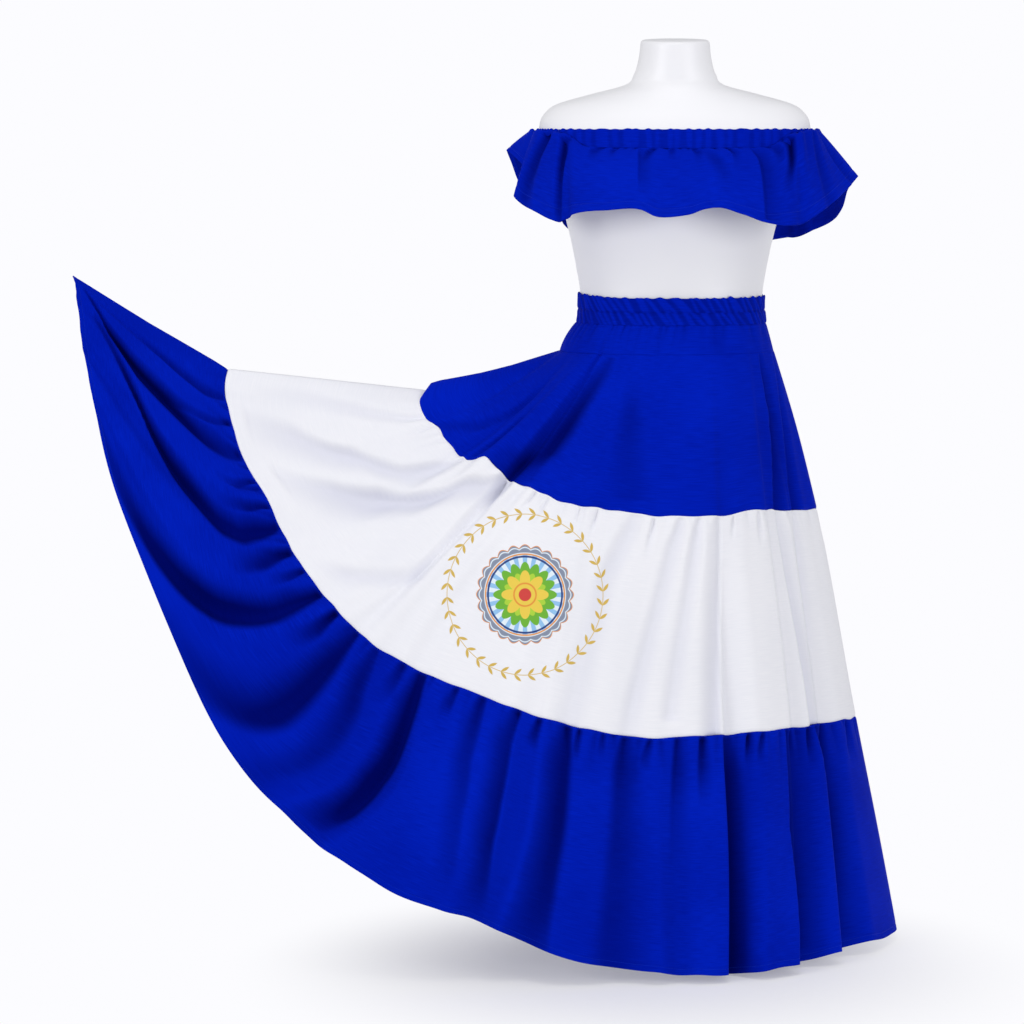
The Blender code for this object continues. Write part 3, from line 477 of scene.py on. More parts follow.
SKIRT_RIPPLES = Ripples(0.0011, 21, 0.1)
FLOUNCE_RIPPLES = Ripples(0.0008, 22, 0.0)
RIPPLE_WAVES = 14
RIPPLE_TURNS = (7, 46)
RIPPLE_LEAN = 5.0
RIPPLE_SHARES = (0.3, 1.0)
RIPPLE_FADE = 12.0
RIPPLE_EASE = 0.5

# Where the gathers and the hem pull the cloth unevenly down along itself: the level, the tier's depth,
# how many scallops round, their size, how far down the cloth they fade, and their seed
Scallops = namedtuple("Scallops", "level depth count size reach seed")

SKIRT_SCALLOPS = (
    Scallops(1.0, TIER_1_DEPTH, 34, 0.0028, 0.022, 41),
    Scallops(2.0, TIER_2_DEPTH, 44, 0.0018, 0.026, 42),
    Scallops(3.0, TIER_3_DEPTH, 46, 0.0020, 0.040, 43),
)

# A crease reaches its depth within this much of a level, and starts narrower than it goes on; the
# front's creases come back mirrored and softer behind; and how deep a hollow or a fold is where the
# painted shade in it is full
CREASE_RUN_IN = 0.015
CREASE_PINCH = 0.5
CREASE_OPENS = 0.14
BACK_CREASES = 0.8
PAINTED_SHADE_HOLLOW_DEPTH = 0.0120
PAINTED_SHADE_FOLD_DEPTH = 0.0600

# Royal blue and white crepe: their shades, the colour of the painted shade in their hollows and how
# far it takes over, and how the cloth takes the light
Crepe = namedtuple("Crepe", "shade light hollow hollow_share roughness gloss sheen gloss_tint slub_bump")

BLUE_CREPE = Crepe((0.0004, 0.0095, 0.37), (0.0006, 0.0155, 0.51), (0.0002, 0.0008, 0.075), 0.82,
                   0.70, 0.02, 0.04, (0.02, 0.10, 1.0), 0.00004)
WHITE_CREPE = Crepe((0.86, 0.865, 0.910), (0.91, 0.91, 0.945), (0.64, 0.65, 0.76), 0.70,
                    0.72, 0.25, 0.05, (0.95, 0.95, 1.0), 0.00003)

# The printed rosette on the white tier: its middle, the ring of its wreath, its growth, its soft edge,
# the wreath's leaves and vine, and how far in front of the pole the print begins and is whole
PRINT_PLACE = (-0.2195, 0.541)
PRINT_RING = 0.111
PRINT_GROWTH = 1.12
PRINT_EDGE = 0.0005
WREATH_LEAVES = 36
LEAF_LENGTH = 0.0135
LEAF_WIDTH = 0.0021
LEAF_LEAN = 0.70
VINE_WIDTH = 0.0005
PRINT_FRONT = (0.02, 0.03)

# Crimps of an elastic casing: their number round, their lean and their seed; then how far each
# strays, leans and tilts, its width and size, a crimp's mean height, and the painted shade between
# crimps
Crimps = namedtuple("Crimps", "count lean seed")

CRIMP_STRAY = 0.30
CRIMP_LEANS = (0.6, 1.3)
CRIMP_TILT = 0.15
CRIMP_WIDTHS = (0.36, 0.62)
CRIMP_SIZES = (0.45, 1.15)
CRIMP_MEAN = 0.5
CRIMP_PAINTED_SHADE = 0.75

# Rows beside a panel's edges and beside a band's rolled edges, and the scallops of a band's top edge
PANEL_EDGE_ROWS = (0.0, 0.0012, 0.0025, 0.0040, 0.0060, 0.0078, 0.0090, 0.0102, 0.0130)
BAND_EDGE_ROWS = (0.0, 0.0003, 0.0008, 0.0015, 0.0024)
EDGE_SCALLOP = 0.0016
EDGE_SCALLOP_REACH = 0.004

# Neck band: its columns and rows, its crimps and how they fade down it, how far it and they stand
# out, the radius of its rolled edges, and its own painted shade
NECK_COLUMNS = 644
NECK_ROWS = 16
NECK_CRIMPS = Crimps(88, 0.0, 31)
NECK_CRIMP_FADE = ((0.0, 0.5, 1.0), (1.0, 0.9, 0.55))
NECK_STAND = 0.0006
NECK_PUFF = 0.0017
NECK_ROLL = 0.0020
NECK_PAINTED_SHADE = 0.30

# Waistband: the same, with crimps for each of its two channels; the stitched line between them, its
# dent and its painted shade; its lower edge, which settles outwards; and how its top rises at the
# lifted side
WAIST_COLUMNS = 528
WAIST_ROWS = 24
WAIST_CRIMPS = (Crimps(72, 0.036, 32), Crimps(72, 0.036, 35))
WAIST_STAND = 0.0008
WAIST_PUFF = 0.0014
WAIST_ROLL = 0.0022
WAIST_PAINTED_SHADE = 0.46
WAIST_LINE = 0.53
WAIST_LINE_WIDTH = 0.0018
WAIST_LINE_DENT = 0.6
WAIST_LINE_PAINTED_SHADE = 0.25
WAIST_LOW = 0.917
WAIST_SETTLE = 0.0024
WAIST_RISE = 0.004
WAIST_RISE_REACH = 1.2
WAIST_GIRTH = 1.050

# Yoke: its columns and rows, its length round, how far it reaches up under the waistband and stands
# off the form there, the room for its soft lines, its swell, and the rows that give its lower seam
YOKE_COLUMNS = 300
YOKE_ROWS = (*np.linspace(0.0, 0.9, 13), 0.94, 0.97, 1.0)
YOKE_GIRTH = 0.860
YOKE_OVERLAP = 0.002
YOKE_STAND = 0.0026
YOKE_ROOM = 0.0026
YOKE_SWELL = 0.0014
YOKE_EASE = ((0.0, 0.12), (0.3, 1.0))
YOKE_SEAM_ROWS = (0.0, 0.01)

# A ring of cloth in two panels: its solids' name and its own, its top level, its depth and length
# round, its columns in front and behind, and its material slot; and the spacing of the skirt's rows
Ring = namedtuple("Ring", "node cloth top depth girth front back slot")

SKIRT_RINGS = (
    Ring("skirt_tier_1", "skirt_tier_1", 0.0, TIER_1_DEPTH, 1.300, 320, 240, "royal_blue_crepe"),
    Ring("skirt_tier_2", "skirt_tier_2", 1.0, TIER_2_DEPTH, 2.150, 400, 300, "white_crepe"),
    Ring("skirt_tier_3", "skirt_tier_3", 2.0, TIER_3_DEPTH, 3.300, 560, 400, "royal_blue_crepe"),
)
FLOUNCE_RING = Ring("top_flounce", "flounce", 0.0, FLOUNCE_DEPTH, FLOUNCE_GIRTH, 420, 320, "royal_blue_crepe")
ROW_SPACING = 0.0063

# Dress form: its columns, its rows from one section to the next, and the rolled rim of its neck (how
# far in, from how far down, and its rows); and the angle that shades as an edge
FORM_COLUMNS = 144
FORM_ROWS = 6
NECK_RIM = 0.0040
NECK_RIM_DEPTH = 0.005
NECK_RIM_ROWS = (0.0, 0.0006, 0.0018, 0.0034)
SHARP_ANGLE = 0.7

# Stitches: from one to the next, their size, the thread's sides and colour, how close its end points
# are welded, and the row of a panel that they run along
STITCH_PITCH = 0.0030
STITCH_POINTS = 6
STITCH_RISE = 0.00022
THREAD_RADIUS = 0.00022
THREAD_SIDES = 4
THREAD_BLUE = (0.004, 0.03, 0.55)
THREAD_SHADE = 0.8
WELD = 1e-6
HEM_ROW = -7

# Each sheet's cut: width and length, how it is held and by what, and its area
Cut = namedtuple("Cut", "flat held rests_on area")

# Printed rosette colours
PRINT_SKY = (0.30, 0.55, 0.85)
PRINT_PALE = (0.78, 0.88, 0.95)
PRINT_LEAF = (0.16, 0.46, 0.04)
PRINT_LIME = (0.42, 0.66, 0.05)
PRINT_YELLOW = (0.85, 0.62, 0.08)
PRINT_ORANGE = (0.80, 0.30, 0.05)
PRINT_RED = (0.65, 0.06, 0.05)
PRINT_NAVY = (0.02, 0.05, 0.22)
PRINT_SLATE = (0.24, 0.28, 0.38)
PRINT_GOLD = (0.66, 0.45, 0.09)

# Crepe: how close its slubs, its crinkle and its clouds of tone are, the slubs' share in its tone and
# in its relief, the range of its tone, and how far its roughness varies
SLUBS = (42.0, 760.0, 1.0)
SLUB_ROUGHNESS = 0.55
CRINKLE = (620.0, 980.0, 1.0)
CLOUDS = 6.0
SLUB_TONE = 0.55
SLUB_RELIEF = 0.7
TONE_RANGE = (0.34, 0.68)
ROUGHNESS_SPREAD = 0.15

# Darker and lighter shades of the form, of the stand and of the floor
FORM_SHADES = ((0.885, 0.885, 0.915), (0.925, 0.925, 0.945))
METAL_SHADES = ((0.52, 0.52, 0.54), (0.68, 0.68, 0.70))
FLOOR_SHADES = ((0.945, 0.945, 0.965), (0.965, 0.965, 0.985))

# Room: its white, how much of it lights the dress, the floor, and the lamps (place, aim, size,
# power and tint)
ROOM_WHITE = (0.973, 0.973, 1.0)
ROOM_LIGHT = 0.55
FLOOR_RADIUS = 30.0
FLOOR_SEGMENTS = 96
FLOOR_MIDDLE = (-0.04, -0.22, 0.0)
FLOOR_FADE = (0.16, 0.62)
FLOOR_GLOW = 0.30
LIGHTS = (
    ("key", (-3.4, -3.4, 1.9), (-0.1, 0.0, 0.6), 1.8, 66.0, (1.0, 1.0, 1.0)),
    ("fill", (3.4, -3.6, 1.5), (-0.1, 0.0, 0.6), 2.2, 61.0, (0.98, 0.98, 1.0)),
    ("top", (0.0, -1.6, 4.2), (-0.1, 0.0, 0.6), 1.5, 20.0, (1.0, 1.0, 1.0)),
)


def unit(vectors):
    return vectors / np.linalg.norm(vectors, axis=-1, keepdims=True)


def hermite(start, end, leave, arrive, share):
    """Points on cubic curves between two ends with the given tangents."""
    square = share * share
    cube = square * share
    return (start * (2 * cube - 3 * square + 1) + leave * (cube - 2 * square + share)
            + end * (3 * square - 2 * cube) + arrive * (cube - square))


def round_spline(places, points, around):
    """Points at the given places round a closed smooth curve through the table's points."""
    gap_after = np.diff(np.append(places, places[0] + 1.0))[:, None]
    gap_before = np.roll(gap_after, 1, axis=0)
    slope_after = (np.roll(points, -1, axis=0) - points) / gap_after
    slope_before = np.roll(slope_after, 1, axis=0)
    slope = (slope_before * gap_after + slope_after * gap_before) / (gap_after + gap_before)
    around = np.mod(around, 1.0)
    first = np.searchsorted(places, around, side="right") - 1
    second = (first + 1) % len(places)
    gap = gap_after[first]
    share = (around - places[first])[:, None] / gap
    return hermite(points[first], points[second], slope[first] * gap, slope[second] * gap, share)


def superellipse(half_width, half_depth, squareness, turn):
    """Across and depth of a rounded-off rectangle, with the turn counted from the left side."""
    cosine, sine = np.cos(turn), np.sin(turn)
    reach = (np.abs(cosine) ** squareness + np.abs(sine) ** squareness) ** (-1.0 / squareness)
    return -half_width * reach * cosine, -half_depth * reach * sine


def section_sizes(height):
    """The form's half width, half depth, centre and squareness on smooth curves through its table."""
    table = np.array(FORM_SECTIONS)
    heights, sizes = table[:, 0], table[:, 1:]
    slopes = np.gradient(sizes, heights, axis=0)
    first = min(max(np.searchsorted(heights, height, side="right") - 1, 0), len(heights) - 2)
    gap = heights[first + 1] - heights[first]
    share = (height - heights[first]) / gap
    return hermite(sizes[first], sizes[first + 1], slopes[first] * gap, slopes[first + 1] * gap, share)


def form_ring(height, turn, clear=0.0):
    """The dress form's outline at a height, grown outwards by a clearance."""
    half_width, half_depth, centre, squareness = section_sizes(height)
    across, depth = superellipse(half_width + clear, half_depth + clear, squareness, turn)
    aside = np.interp(height, FORM_ASIDE[0], FORM_ASIDE[1])
    return np.stack([across + aside, depth + centre, np.full_like(across, height)], axis=-1)


def slices_ring(slices, around):
    """A closed ring through a table of slices: their fronts, then their backs."""
    table = np.array(slices)
    fronts = table[:, [1, 2, 4]]
    backs = table[-2:0:-1, [1, 3, 4]]
    places = np.concatenate([table[:, 0], 1.0 - table[-2:0:-1, 0]])
    return round_spline(places, np.concatenate([fronts, backs]), around)


def yoke_turn(around):
    """The turn round the yoke that meets a place round the skirt, mirrored for the back."""
    places, degrees = np.array(YOKE_TURNS).T
    around = np.mod(around, 1.0)
    half = np.where(around > 0.5, 1.0 - around, around)
    turn = np.radians(np.interp(half, places, degrees))
    return np.where(around > 0.5, 2 * np.pi - turn, turn)


def yoke_ring(around):
    """The seam under the yoke, a level ellipse that reaches further to the lifted side."""
    across, depth = superellipse((YOKE_LEFT + YOKE_RIGHT) / 2, YOKE_DEPTH, 2.0, yoke_turn(around))
    middle = (YOKE_RIGHT - YOKE_LEFT) / 2
    return np.stack([across + middle, depth, np.full_like(across, YOKE_SEAM_HEIGHT)], axis=-1)


def offset_round(around, centre):
    """The signed distance round the ring from a centre, the short way."""
    return np.mod(around - centre + 0.5, 1.0) - 0.5


def spline_sheet(rings, ring_levels, levels, straight):
    """Rows of points, one for each level, on smooth curves that run down through the rings."""
    rings = np.array(rings)
    ring_levels = np.array(ring_levels)
    steps = np.diff(ring_levels)[:, None, None]
    slopes = np.diff(rings, axis=0) / steps
    inner = (slopes[:-1] * steps[1:] + slopes[1:] * steps[:-1]) / (steps[1:] + steps[:-1])
    ends = 1.5 * slopes[[0, -1]] - 0.5 * inner[[0, -1]]
    tangents = np.concatenate([ends[:1], inner, ends[1:]])
    first = np.clip(np.searchsorted(ring_levels, levels, side="right") - 1, 0, len(slopes) - 1)
    gap = steps[first]
    share = (levels - ring_levels[first])[:, None, None] / gap
    leave = tangents[first] + (slopes[first] - tangents[first]) * straight
    arrive = tangents[first + 1] + (slopes[first] - tangents[first + 1]) * straight
    return hermite(rings[first], rings[first + 1], leave * gap, arrive * gap, share)


def outward(points):
    """Directions out of a closed ring of cloth, whose last column meets its first."""
    along = np.roll(points, -1, axis=1) - np.roll(points, 1, axis=1)
    return unit(np.cross(np.gradient(points, axis=0), along))


def soft_bump(share):
    """A smooth rise and fall over one width to each side."""
    return np.where(np.abs(share) < 1, np.cos(np.pi / 2 * np.clip(share, -1, 1)) ** 2, 0.0)


def trough(share):
    """A valley with a crisp bottom and soft shoulders, one width to each side."""
    return np.clip(1.0 - np.abs(share), 0.0, 1.0) ** 2


def long_folds(folds, ring_levels, around, levels):
    """The cloth's largest folds, the same as its solids have."""
    heights = np.zeros((len(levels), len(around)))
    for fold in folds:
        centre = fold.around + fold.drift * levels[:, None] / ring_levels[-1]
        offset = offset_round(around, centre)
        share = offset / np.where(offset < 0, fold.left, fold.right)
        heights += np.interp(levels, ring_levels, fold.heights)[:, None] * soft_bump(share)
    return heights


def creases(table, around, levels):
    """Soft troughs along each crease of a table."""
    heights = np.zeros((len(levels), len(around)))
    for crease in table:
        centre = np.interp(levels, crease.levels, crease.arounds)[:, None]
        depth = np.interp(levels, crease.levels, crease.depths, left=0.0, right=0.0)
        depth = depth * np.clip((levels - crease.levels[0]) / CREASE_RUN_IN, 0.0, 1.0)
        spread = np.interp(levels - crease.levels[0], (0.0, CREASE_OPENS), (CREASE_PINCH, 1.0))[:, None]
        offset = offset_round(around, centre)
        share = offset / np.where(offset < 0, crease.left, crease.right) / spread
        heights -= depth[:, None] * soft_bump(share)
    return heights


def puckers(gathers, around, levels):
    """Uneven gathers: troughs that start in their seam, widen and fade, each its own size and length."""
    chance = np.random.default_rng(gathers.seed)
    heights = np.zeros((len(levels), len(around)))
    for index in range(gathers.count):
        centre = (index + chance.uniform(-PUCKER_STRAY, PUCKER_STRAY)) / gathers.count
        width = chance.uniform(*PUCKER_WIDTHS) / gathers.count
        size = gathers.puff * chance.uniform(*PUCKER_SIZES)
        length = gathers.reach * chance.uniform(*PUCKER_LENGTHS)
        drift = chance.uniform(-PUCKER_DRIFT, PUCKER_DRIFT) / gathers.count
        run = (levels - gathers.level) / length
        swell = np.interp(run, *PUCKER_SWELL)
        spread = width * (1.0 + PUCKER_WIDENS * np.clip(run, 0.0, 1.0))
        offset = offset_round(around, centre + drift * np.clip(run, 0.0, 1.0)[:, None])
        heights -= (size * swell)[:, None] * trough(offset / spread[:, None])
    return heights


def ripples(kind, around, levels):
    """Faint wide unevenness that closes on itself round the cloth and eases in below its top seam."""
    chance = np.random.default_rng(kind.seed)
    heights = np.zeros((len(levels), len(around)))
    for _ in range(RIPPLE_WAVES):
        waves = chance.integers(*RIPPLE_TURNS)
        lean = chance.uniform(-RIPPLE_LEAN, RIPPLE_LEAN)
        phase = chance.uniform(0.0, 2 * np.pi)
        share = chance.uniform(*RIPPLE_SHARES) * RIPPLE_FADE / (RIPPLE_FADE + waves)
        heights += kind.size * share * np.sin(2 * np.pi * waves * around + lean * levels[:, None] + phase)
    return heights * np.interp(levels, (0.0, RIPPLE_EASE), (kind.start, 1.0))[:, None]


def groove(distance, depth, width):
    """A narrow dent along a seam or a line of stitches."""
    return -depth * np.exp(-((distance / width) ** 2))


def row_levels(top, bottom, depth, spacing):
    """Levels for rows of points down a piece, close together beside its two edges."""
    beside = np.array(PANEL_EDGE_ROWS)
    middle = np.linspace(beside[-1], depth - beside[-1], round((depth - 2 * beside[-1]) / spacing) + 1)
    places = np.concatenate([beside[:-1], middle, depth - beside[-2::-1]])
    return top + (bottom - top) * places / depth, places


def columns_round(front, back):
    """Places round a ring, closer together in front than at the back."""
    return np.concatenate([np.arange(front) / front * 0.5, 0.5 + np.arange(back) / back * 0.5])


def pulled_down(around, levels):
    """How far the seams and the hem of the skirt are pulled down along the cloth, round their scallops."""
    pulled = np.zeros((len(levels), len(around)))
    for scallops in SKIRT_SCALLOPS:
        middle_row = np.array([0.5])
        row = ruches(around, middle_row, Crimps(scallops.count, 0.0, scallops.seed))[0] - CRIMP_MEAN
        fade = np.exp(-(((levels - scallops.level) * scallops.depth / scallops.reach) ** 2))
        pulled += scallops.size * fade[:, None] * row
    return pulled


def skirt_sheet(around, levels):
    """The skirt's outer face: smooth surface, folds, creases, gathers and seams."""
    rings = [yoke_ring(around)] + [slices_ring(table, around)
                                   for table in (SEAM_1, SEAM_2, TIER_3_MIDDLE, SKIRT_HEM)]
    straight = np.exp(-((offset_round(around, 0.0) / STRAIGHT_SPREAD) ** 2))[:, None]
    smooth = spline_sheet(rings, RING_LEVELS, levels, straight)
    folds = long_folds(FOLDS, RING_LEVELS, around, levels)
    hollows = creases(SKIRT_CREASES, around, levels)
    hollows += creases(SKIRT_CREASES, 1.0 - around, levels) * BACK_CREASES
    for gathers in SKIRT_GATHERS:
        hollows += puckers(gathers, around, levels)
    heights = folds + hollows
    heights += ripples(SKIRT_RIPPLES, around, levels)
    for level, depth, sink in SEAMS:
        heights += groove((levels - level) * depth, sink, GROOVE_WIDTH)[:, None]
    stitched = (RING_LEVELS[-1] - levels) * TIER_3_DEPTH - HEM_DEPTH
    heights += groove(stitched, *HEM_GROOVE)[:, None]
    down = unit(np.gradient(smooth, axis=0)) * pulled_down(around, levels)[:, :, None]
    # Besides the points, the painted shade of each point, from its creases, puckers and folds
    return smooth + outward(smooth) * heights[:, :, None] + down, painted_shade_amount(hollows, folds)


def painted_shade_amount(hollows, folds):
    """Painted shade for each point, from 0 to 1, by how deep it lies in a hollow or a fold of the cloth."""
    return np.clip(-hollows / PAINTED_SHADE_HOLLOW_DEPTH - folds / PAINTED_SHADE_FOLD_DEPTH, 0.0, 1.0)


def add_object(name, data):
    """An object in the scene for a mesh, a lamp or a camera."""
    item = bpy.data.objects.new(name, data)
    bpy.context.scene.collection.objects.link(item)
    return item


def add_mesh(name, shape, material):
    """A finished bmesh as an object."""
    mesh = bpy.data.meshes.new(name)
    shape.to_mesh(mesh)
    shape.free()
    mesh.materials.append(material)
    return add_object(name, mesh)


def cloth_object(name, points, flat, hollow, material, thickness):
    """A sheet of cloth through rows of points, with its flat pattern in metres and the painted shade of its
    hollows.
    """
    rows, columns = points.shape[:2]
    shape = bmesh.new()
    bmesh.ops.create_grid(shape, x_segments=columns - 1, y_segments=rows - 1, size=1.0)
    bmesh.ops.reverse_faces(shape, faces=shape.faces)
    piece = add_mesh(name, shape, material)
    mesh = piece.data
    mesh.vertices.foreach_set("co", points.reshape(-1))
    corners = np.empty(len(mesh.loops), dtype=np.int32)
    mesh.loops.foreach_get("vertex_index", corners)
    pattern = mesh.uv_layers.new(name="flat")
    pattern.uv.foreach_set("vector", flat.reshape(-1, 2)[corners].reshape(-1))
    # Painted shade of each point, which darkens the crepe's colour
    mesh.attributes.new("hollow", "FLOAT", "POINT").data.foreach_set("value", hollow.reshape(-1))
    mesh.shade_smooth()
    shell = piece.modifiers.new("cloth", "SOLIDIFY")
    shell.thickness = thickness
    shell.offset = -1.0
    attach(piece, "root")
    return piece


def closed_ring(values):
    """Rows round a ring with their first column repeated at the end."""
    return np.concatenate([values, values[:, :1]], axis=1)


def halves(closed, front):
    """Front and back columns of a closed ring, each with both of its side seams."""
    return closed[:, :front + 1], closed[:, front:]


def flat_pattern(around, places, girth):
    """Each point's place on the flat cloth: along it, and down it."""
    closed = np.append(around, 1.0)
    along = np.broadcast_to(closed * girth, (len(places), len(closed)))
    down = np.broadcast_to(places[:, None], along.shape)
    return np.stack([along, down], axis=-1)


def panel_outward(points):
    """Directions out of an open panel."""
    return unit(np.cross(np.gradient(points, axis=0), np.gradient(points, axis=1)))


def sewn_panels(ring, places, points, hollow, materials):
    """A ring of cloth as its front and back panel, each with its outer points, by its solid's name."""
    flat = flat_pattern(columns_round(ring.front, ring.back), places, ring.girth)
    sheets = [halves(rows, ring.front) for rows in (closed_ring(points), flat, closed_ring(hollow))]
    pieces = {}
    for side, material, outer, pattern, shade in zip(("front", "back"), materials, *sheets):
        name = f"{ring.node}_{side}"
        piece = cloth_object(f"{ring.cloth}_{side}_cloth", outer, pattern, shade, material, CLOTH)
        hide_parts(name)
        pieces[name] = (piece, outer)
    return pieces


def skirt_tiers(blue, white, printed):
    """The three tiers of the skirt; the white one is printed in front."""
    pieces = {}
    for ring, materials in zip(SKIRT_RINGS, ((blue, blue), (printed, white), (blue, blue))):
        levels, places = row_levels(ring.top, ring.top + 1.0, ring.depth, ROW_SPACING)
        points, hollow = skirt_sheet(columns_round(ring.front, ring.back), levels)
        pieces.update(sewn_panels(ring, places, points, hollow, materials))
    return pieces


def sewn_band(name, node, rows, down, girth, hollow, material, thickness):
    """A ring of cloth in one piece."""
    flat = flat_pattern(np.arange(rows.shape[1]) / rows.shape[1], down, girth)
    shade = closed_ring(np.clip(hollow, 0.0, 1.0))
    piece = cloth_object(name, closed_ring(rows), flat, shade, material, thickness)
    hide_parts(node)
    return piece


def rolled(down, depth, radius):
    """How full an edge is that rolls over at the top and at the bottom of a band."""
    edge = np.clip(np.minimum(down, depth - down) / radius, 0.0, 1.0)
    return np.sqrt(1.0 - (1.0 - edge) ** 2)


def ruches(around, share, crimps):
    """Uneven crimps of an elastic casing; they lean by a part of the way round from top to bottom."""
    chance = np.random.default_rng(crimps.seed)
    heights = np.zeros((len(share), len(around)))
    for index in range(crimps.count):
        centre = (index + chance.uniform(-CRIMP_STRAY, CRIMP_STRAY)) / crimps.count
        lean = crimps.lean * chance.uniform(*CRIMP_LEANS)
        tilt = lean + chance.uniform(-CRIMP_TILT, CRIMP_TILT) / crimps.count
        width = chance.uniform(*CRIMP_WIDTHS) / crimps.count
        size = chance.uniform(*CRIMP_SIZES)
        offset = offset_round(around, centre + tilt * (share[:, None] - 0.5))
        heights += size * soft_bump(offset / width)
    return heights


def band_rows(depth, count):
    """Distances down a band, close together at its rolled edges."""
    edge = np.array(BAND_EDGE_ROWS)
    return np.concatenate([edge, np.linspace(edge[-1], depth - edge[-1], count)[1:-1], depth - edge[::-1]])


def edge_scallop(crimp, step):
    """How far the crimps lift a band's top edge, at a distance down from it."""
    return EDGE_SCALLOP * (crimp - CRIMP_MEAN) * np.exp(-step / EDGE_SCALLOP_REACH)


def band_directions(turn, height):
    """The level direction out of the form at a height."""
    return unit(form_ring(height, turn, 1.0) - form_ring(height, turn))


def make_neck_band(blue):
    """The gathered elastic band round the shoulders: upright crimps and a scalloped top edge."""
    around = np.arange(NECK_COLUMNS) / NECK_COLUMNS
    turn = 2 * np.pi * around
    depth = NECK_TOP - NECK_BOTTOM
    down = band_rows(depth, NECK_ROWS)
    crimps = ruches(around, down / depth, NECK_CRIMPS)
    crimps *= np.interp(down / depth, *NECK_CRIMP_FADE)[:, None]
    rows = []
    for step, full, crimp in zip(down, rolled(down, depth, NECK_ROLL), crimps):
        height = NECK_TOP - step
        out = WORN_GAP + BAND_CLOTH + full * (NECK_STAND + NECK_PUFF * crimp)
        row = form_ring(height, turn) + band_directions(turn, height) * out[:, None]
        row[:, 2] += edge_scallop(crimp, step)
        rows.append(row)
    # Painted shade: darker between the crimps, lighter on them
    hollow = NECK_PAINTED_SHADE - CRIMP_PAINTED_SHADE * crimps
    return sewn_band("neck_band_cloth", "top_neck_band", np.array(rows), down, FLOUNCE_GIRTH, hollow,
                     blue, BAND_CLOTH)


def waist_row(turn, out, height):
    """A level outline outside the form's waist."""
    ring = form_ring(WAIST_BOTTOM, turn) + band_directions(turn, WAIST_BOTTOM) * out[:, None]
    ring[:, 2] = height
    return ring


def waist_lift(turn):
    """The waistband's top edge rises a little at the lifted side."""
    return WAIST_RISE * soft_bump((np.mod(turn + np.pi, 2 * np.pi) - np.pi) / WAIST_RISE_REACH)


def channel_crimps(around, share):
    """The leaning crimps of the waistband's two elastic channels, each with its own."""
    upper, lower = (ruches(around, share, crimps) for crimps in WAIST_CRIMPS)
    return np.where((share < WAIST_LINE)[:, None], upper, lower)


def make_waistband(blue):
    """A casing with two elastic channels, leaning crimps and a stitched line between them."""
    around = np.arange(WAIST_COLUMNS) / WAIST_COLUMNS
    turn = 2 * np.pi * around
    depth = WAIST_TOP - WAIST_LOW
    down = band_rows(depth, WAIST_ROWS)
    share = down / depth
    crimps = channel_crimps(around, share)
    line = np.exp(-(((share - WAIST_LINE) * depth / WAIST_LINE_WIDTH) ** 2))
    fullness = rolled(down, depth, WAIST_ROLL) * (1.0 - WAIST_LINE_DENT * line)
    rows = []
    for step, full, crimp in zip(down, fullness, crimps):
        out = WORN_GAP + BAND_CLOTH + full * (WAIST_STAND + WAIST_PUFF * crimp)
        out += WAIST_SETTLE * (step / depth) ** 3
        height = WAIST_TOP - step + waist_lift(turn) * (1.0 - step / depth)
        height += edge_scallop(crimp, step)
        rows.append(waist_row(turn, out, height))
    # Painted shade: darker between the crimps and along the stitched line
    hollow = WAIST_PAINTED_SHADE - CRIMP_PAINTED_SHADE * crimps + WAIST_LINE_PAINTED_SHADE * line[:, None]
    return sewn_band("waistband_cloth", "skirt_waistband", np.array(rows), down, WAIST_GIRTH, hollow,
                     blue, BAND_CLOTH)


def make_yoke(blue):
    """A plain band that widens from the waistband to the first tier, with soft lines from the gathers."""
    around = np.arange(YOKE_COLUMNS) / YOKE_COLUMNS
    turn = yoke_turn(around)
    upper = waist_row(turn, np.full_like(turn, YOKE_STAND), WAIST_LOW + YOKE_OVERLAP)
    lower = skirt_sheet(around, np.array(YOKE_SEAM_ROWS))[0][0]
    share = np.array(YOKE_ROWS)
    down = share[:, None, None]
    bulge = np.minimum(upper[:, :1], 0.0) / YOKE_LEFT * YOKE_BULGE * np.array([1.0, 0.0, 0.0])
    smooth = upper * (1.0 - down) + lower * down + 4.0 * down * (1.0 - down) * bulge
    lines = np.maximum(puckers(YOKE_LINES, around, share), -YOKE_ROOM)
    heights = (lines + YOKE_SWELL) * (1.0 - share[:, None] ** 2) * np.interp(share, *YOKE_EASE)[:, None]
    points = smooth + outward(smooth) * heights[:, :, None]
    points[-1] = lower
    places = share * (WAIST_LOW - YOKE_SEAM_HEIGHT)
    # Painted shade in the valleys of the yoke's soft lines
    hollow = -lines / PAINTED_SHADE_HOLLOW_DEPTH
    return sewn_band("yoke_cloth", "skirt_yoke", points, places, YOKE_GIRTH, hollow, blue, CLOTH)


def flounce_seam(around, stand):
    """The flounce's seam at a distance off the band, then how far it climbs, out and up to its crest."""
    turn = 2 * np.pi * np.mod(around, 1.0)
    table = np.array(FLOUNCE_CREST)
    places = [np.mod(around + shift, 1.0) for shift in CREST_SOFTENING]
    lift, out, rise = (
        np.mean([np.interp(place, table[:, 0], column) for place in places], axis=0)
        for column in table[:, 1:].T
    )
    climb = (lift / (NECK_TOP - NECK_BOTTOM))[:, None]
    band = form_ring(NECK_BOTTOM, turn) * (1.0 - climb) + form_ring(NECK_TOP, turn) * climb
    away = band_directions(turn, NECK_BOTTOM)
    return band + away * stand, lift / table[:, 1].max(), away * out[:, None], rise


def flounce_rings(around):
    """The flounce's seam on the band, its crest and its hem."""
    seam, climb, out, rise = flounce_seam(around, FLOUNCE_STAND)
    crest = seam + out
    crest[:, 2] += rise
    hem_table = np.array(FLOUNCE_HEM)
    hem = round_spline(hem_table[:, 0], hem_table[:, 1:], around)
    return [seam, crest, hem], climb


